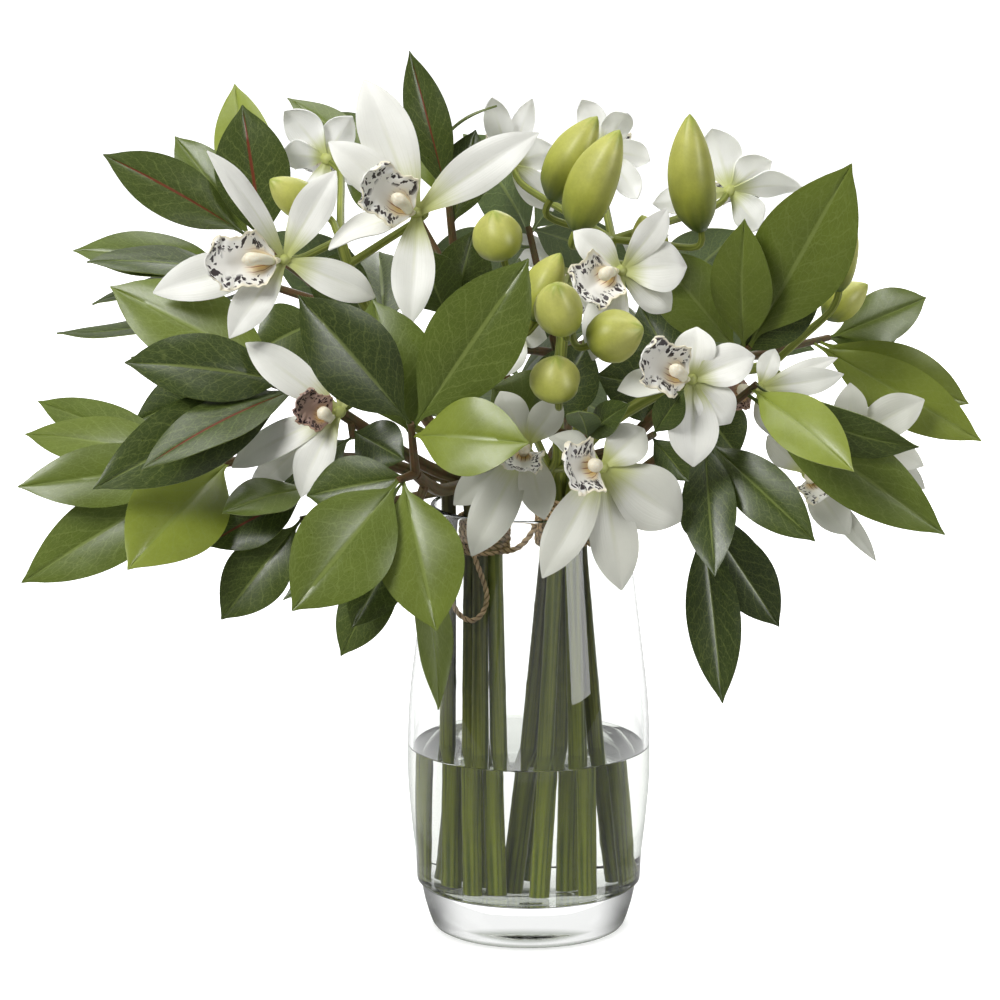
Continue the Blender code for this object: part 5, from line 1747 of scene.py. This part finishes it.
# Twine: a two-ply cord laid along a line
def layCord(name, line, radius):
    count = max(int(lengthOf(line) / twine["step"]), 8)
    points, places, length = evenLine(line, count, 1)
    corners = []
    faces = []
    uvs = []
    across = (points[1] - points[0]).normalized().orthogonal().normalized()
    sides = twine["sides"]
    for i, point in enumerate(points):
        ahead = (points[min(i + 1, count - 1)] - points[max(i - 1, 0)]).normalized()
        across = (across - ahead * across.dot(ahead)).normalized()
        other = ahead.cross(across)
        twist = 2 * math.pi * (i / (count - 1)) * length / twine["lay"]
        for k in range(sides):
            angle = 2 * math.pi * k / sides
            grain = 0.05 * noise.noise(point * 0.9 + across * k)
            size = radius * (0.70 + 0.34 * abs(math.cos(angle)) + grain)
            outward = across * math.cos(angle + twist) + other * math.sin(angle + twist)
            corners.append((point + outward * size) * mm)
    for i in range(count - 1):
        for k in range(sides):
            a = i * sides + k
            b = i * sides + (k + 1) % sides
            faces.append((a, b, b + sides, a + sides))
            for u, v in ((k, i), (k + 1, i), (k + 1, i + 1), (k, i + 1)):
                uvs.append((u / sides, v * twine["step"] / 10))
    faces.append(tuple(reversed(range(sides))))
    faces.append(tuple(range((count - 1) * sides, count * sides)))
    uvs += [(0, 0)] * (2 * sides)
    mesh = bpy.data.meshes.new(name)
    mesh.from_pydata(corners, [], faces)
    layer = mesh.uv_layers.new(name="UVMap")
    for mark, spot in zip(layer.data, uvs):
        mark.uv = spot
    for side in mesh.polygons:
        side.use_smooth = True
    made = bpy.data.objects.new(name, mesh)
    bpy.context.scene.collection.objects.link(made)
    made.data.materials.append(materials["twine"])
    return made


# turns of twine side by side round a bundle, each a little aslant
def wrapLine(centre, ring, turnsRound, lean):
    points = []
    inner = ring + stemRadius + gap
    radius = inner + twine["radius"]
    bottom = centre.z - turnsRound * twine["turnHeight"] / 2 + twine["turnHeight"] / 2
    steps = 40
    for i in range(int(turnsRound * steps) - steps + 1):
        angle = 2 * math.pi * i / steps
        rise = bottom + i / steps * twine["turnHeight"] + lean * math.sin(angle)
        push = radius + 0.25 * noise.noise(Vector((i * 0.07, inner, 3)))
        points.append(Vector((centre.x + push * math.cos(angle), centre.y + push * math.sin(angle), rise)))
    return points


def makeTwine():
    line = loopLine()
    loop = layCord("twine_loop_cord", line, twine["radius"])
    settle(loop, "twine_loop")
    parts = [
        layCord("left_wrap", wrapLine(leftTie, leftRing, twine["leftTurns"], 0.5), twine["radius"]),
        layCord("right_wrap", wrapLine(rightTie, rightRing, twine["rightTurns"], 0.8), twine["radius"]),
        layCord("strand", way(strandPoints(), 6), twine["strandRadius"]),
    ]
    settle(joinAll("twine_ties_cord", parts), "twine_ties")


# Vase and water: an outline spun round the upright axis
spinSteps = 128
vaseSmooth = 50  # degrees: edges flatter than this look rounded


def spunBody(name, outline, material):
    mesh = bpy.data.meshes.new(name)
    spots = [(radius * mm, 0, height * mm) for radius, height in outline]
    mesh.from_pydata(spots, [(i, i + 1) for i in range(len(spots) - 1)], [])
    made = bpy.data.objects.new(name, mesh)
    bpy.context.scene.collection.objects.link(made)
    deselect()
    made.select_set(True)
    bpy.context.view_layer.objects.active = made
    bpy.ops.object.mode_set(mode="EDIT")
    bpy.ops.mesh.select_all(action="SELECT")
    bpy.ops.mesh.spin(steps=spinSteps, angle=2 * math.pi, center=(0, 0, 0), axis=(0, 0, 1))
    bpy.ops.mesh.select_all(action="SELECT")
    bpy.ops.mesh.remove_doubles(threshold=0.00001)
    bpy.ops.mesh.normals_make_consistent(inside=False)
    bpy.ops.object.mode_set(mode="OBJECT")
    made.data.materials.append(material)
    smoothOver(made, vaseSmooth)
    return made


def easedOutline(points, steps=4):
    line = way([Vector((radius, 0, height)) for radius, height in points], steps)
    return [(spot.x, spot.z) for spot in line]


def glassOutline():
    foot = [(0, 1.3), (30, 1.1), (38.0, 0.5), (40.0, 0.05), (41.5, 0.0), (42.8, 0.7), (43.9, 2.2)]
    foot += [(45.4, 6.0), (47.2, 12.0), (48.3, 17.0), (48.7, 19.9), (48.85, 20.8), (49.3, 21.2)]
    foot += [(50.3, 21.5), (50.8, 22.1), (50.95, 23.4)]
    body = [(51.4, 34.0), (53.2, 49.0), (54.8, 68.0), (55.0, 84.0), (53.9, 108.0), (50.4, 138.0)]
    body += [(46.8, 168.0), (44.7, 188.0), (44.35, 194.8)]
    rim = [(44.1, 195.6), (43.3, vaseHeight), (42.5, 195.6), (42.25, 194.8)]
    inner = [(innerRadius(h), h) for h in innerHeights] + [(47.6, 34.0), (46.4, 26.5)]
    floor = [(45.6, 23.6), (44.3, 21.6), (42.4, 20.4), (40.0, vaseFloor), (0, vaseFloor)]
    return foot + easedOutline(body) + rim + easedOutline(inner) + floor


def waterOutline():
    lap = 0.15  # the water meets the glass with no film of air between
    wet = [(0, vaseFloor - lap), (40.0, vaseFloor - lap), (42.4, 20.4 - lap), (44.3 + lap, 21.6)]
    wet += [(45.6 + lap, 23.6), (46.4 + lap, 26.5)]
    wall = [(47.6, 34.0)] + [(innerRadius(h), h) for h in (49.0, 68.0, 80.0)]
    wet += [(x + lap, z) for x, z in easedOutline(wall)]
    edge = innerRadius(waterTop)
    wet += [(edge + lap, waterTop + 1.0), (edge - 0.35, waterTop + 0.75), (edge - 1.1, waterTop + 0.25)]
    wet += [(edge - 2.4, waterTop), (0, waterTop)]
    return wet


def makeVase():
    glass = spunBody("vase_glass", glassOutline(), materials["glass"])
    settle(glass, "vase")
    water = spunBody("vase_water", waterOutline(), materials["water"])
    settle(water, "water")
    print("vase and water spun")


tones = {"dark": 0.0, "mid": 0.5, "pale": 0.92, "redRib": 0.12}


# Plants: every blade and rod made and joined into the piece that takes its node's place
plantSmooth = 48  # degrees
sheets = {}


def makeSheets():
    sheets["leaf"] = sheetMaster("leafSheet", leafForm, ("leafUpper", "leafUnder", "leafRimHighlight"))
    sheets["tepal"] = sheetMaster("tepalSheet", tepalForm, ("petal",))
    sheets["lip"] = sheetMaster("lipSheet", lipForm, ("lip",))
    for size, form in (("Stem", stemForm), ("Twig", twigForm)):
        for kind in ("bark", "orchid"):
            sheets[kind + size] = sheetMaster(kind + size + "Sheet", form, (kind + "Stem",))
    sheets["bud"] = sheetMaster("budSheet", budForm, ("bud",))
    sheets["column"] = sheetMaster("columnSheet", columnForm, ("column",))
    sheets["heart"] = sheetMaster("heartSheet", heartForm, ("petal",))


def dressLeaves(bodies):
    chance = random.Random(11)
    for k, (node, grown, tone) in enumerate(leaves):
        kind = tone[0] if tone else "dark"
        shade = tones[kind] + chance.uniform(-0.08, 0.14)
        colour = (max(shade, 0), 1.0 if kind == "redRib" else 0.0, chance.random() * 9, 1)
        leaf = growBlade(sheets["leaf"], grown, leafLift, leafForm, k, colour)
        bodies.setdefault(node, []).append(leaf)
    for node, parts in bodies.items():
        made = joinAll(node + "_leaves", parts)
        thicken(made, leafForm["thickness"], 1, 2)
        bodies[node] = [made]
    print("leaves grown", len(leaves))


def dressStems(bodies):
    for node, line, radii in rods:
        kind = "bark" if node.startswith("leafy") else "orchid"
        size, form = "Twig", twigForm
        if len(line) > 8 and line[0].z < 40:  # a main stem, which swells towards its cut foot
            size, form = "Stem", stemForm
            radii = [radii[0] * form["foot"][0], radii[1] * form["foot"][1]] + radii[2:]
        bodies.setdefault(node, []).append(growRod(sheets[kind + size], form, line, radii))
    print("stems and twigs", len(rods))


def dressBuds(bodies):
    for node, low, high, radius in buds:
        aside = (high - low).cross(Vector((0, 1, 0.2))).normalized()
        bow = aside * ((high - low).length * budForm["bow"])
        line = way([low, (low + high) / 2 + bow, high], 10)
        made = growRod(sheets["bud"], budForm, line, [radius * budForm["stout"]] * len(line))
        bodies.setdefault(node, []).append(made)


# five sepals and petals on a round middle; blooms far back are painted paler, a painted backlight, and low
# front ones are painted a greyer cream, a painted shade
def dressTepals():
    flowers = {}
    for k, (name, shape) in enumerate(tepals):
        root = shape[0]
        # painted backlight for the blooms far back
        paintedBacklight = 0.8 if root.y > 15 else 0
        # painted shade for the low front blooms
        paintedShade = 0.7 if root.z < 246 and root.y < 0 else 0
        tepal = growBlade(sheets["tepal"], shape, tepalLift, tepalForm, 50 + k, (paintedBacklight, paintedShade, 0, 1))
        flowers.setdefault(name, []).append(tepal)
    for name, middle, aim in hearts:
        made = joinAll(name + "_sheets", flowers[name])
        thicken(made, tepalForm["thickness"])
        line = [middle - aim * hubRadius + aim * (2 * hubRadius * i / 10) for i in range(11)]
        heartRod = growRod(sheets["heart"], heartForm, line, [heartForm["radius"]] * len(line))
        for mark in heartRod.data.uv_layers["UVMap"].data:
            mark.uv.y = 0.02
        made = joinAll(name + "_sepals_and_petals", [made, heartRod])
        smoothOver(made, plantSmooth)
        settle(made, name + "_tepals")


# a lip with its column over it and the neck that joins both to the bloom
def dressLips():
    for k, (name, shape, neck, aim) in enumerate(lips):
        foot, tip = shape[0], shape[1]
        out = (tip - foot).normalized()
        rise = turnedFace(out, shape[3], 0)
        reach = (tip - foot).length
        red = 0.75 if name in lipForm["russet"] else 0.0
        made = growBlade(sheets["lip"], shape, lipLift, lipForm, 90 + k, (0, red, 1.7 * k, 1))
        thicken(made, lipForm["thickness"])
        crown = foot + out * reach * 0.3 + rise * 5.0
        nose = foot + out * reach * 0.54 + rise * 4.4
        line = way([foot - rise * 1.6, crown, nose], 6)
        radii = [2.1 + 1.0 * i / (len(line) - 1) for i in range(len(line))]
        column = growRod(sheets["column"], columnForm, line, radii)
        neckRod = growRod(sheets["column"], neckForm, [neck, foot + aim], [1.2, 1.9])
        made = joinAll(name + "_lip_and_column", [made, column, neckRod])
        smoothOver(made, plantSmooth)
        settle(made, name + "_lip")


def dressPlants():
    makeSheets()
    bodies = {}
    dressLeaves(bodies)
    dressStems(bodies)
    dressBuds(bodies)
    for node, parts in bodies.items():
        made = joinAll(node + "_plant", parts)
        smoothOver(made, plantSmooth)
        settle(made, node)
    print("plants joined", len(bodies))
    dressTepals()
    dressLips()
    print("blooms dressed", len(hearts))
    for sheet in sheets.values():
        bpy.data.objects.remove(sheet)


setStudio()
makeMaterials()
makeTwine()
makeVase()
allStems()
openBlooms()
growLeaves()
print("arranged", len(rods), "stems and twigs,", len(leaves), "leaves")
dressPlants()
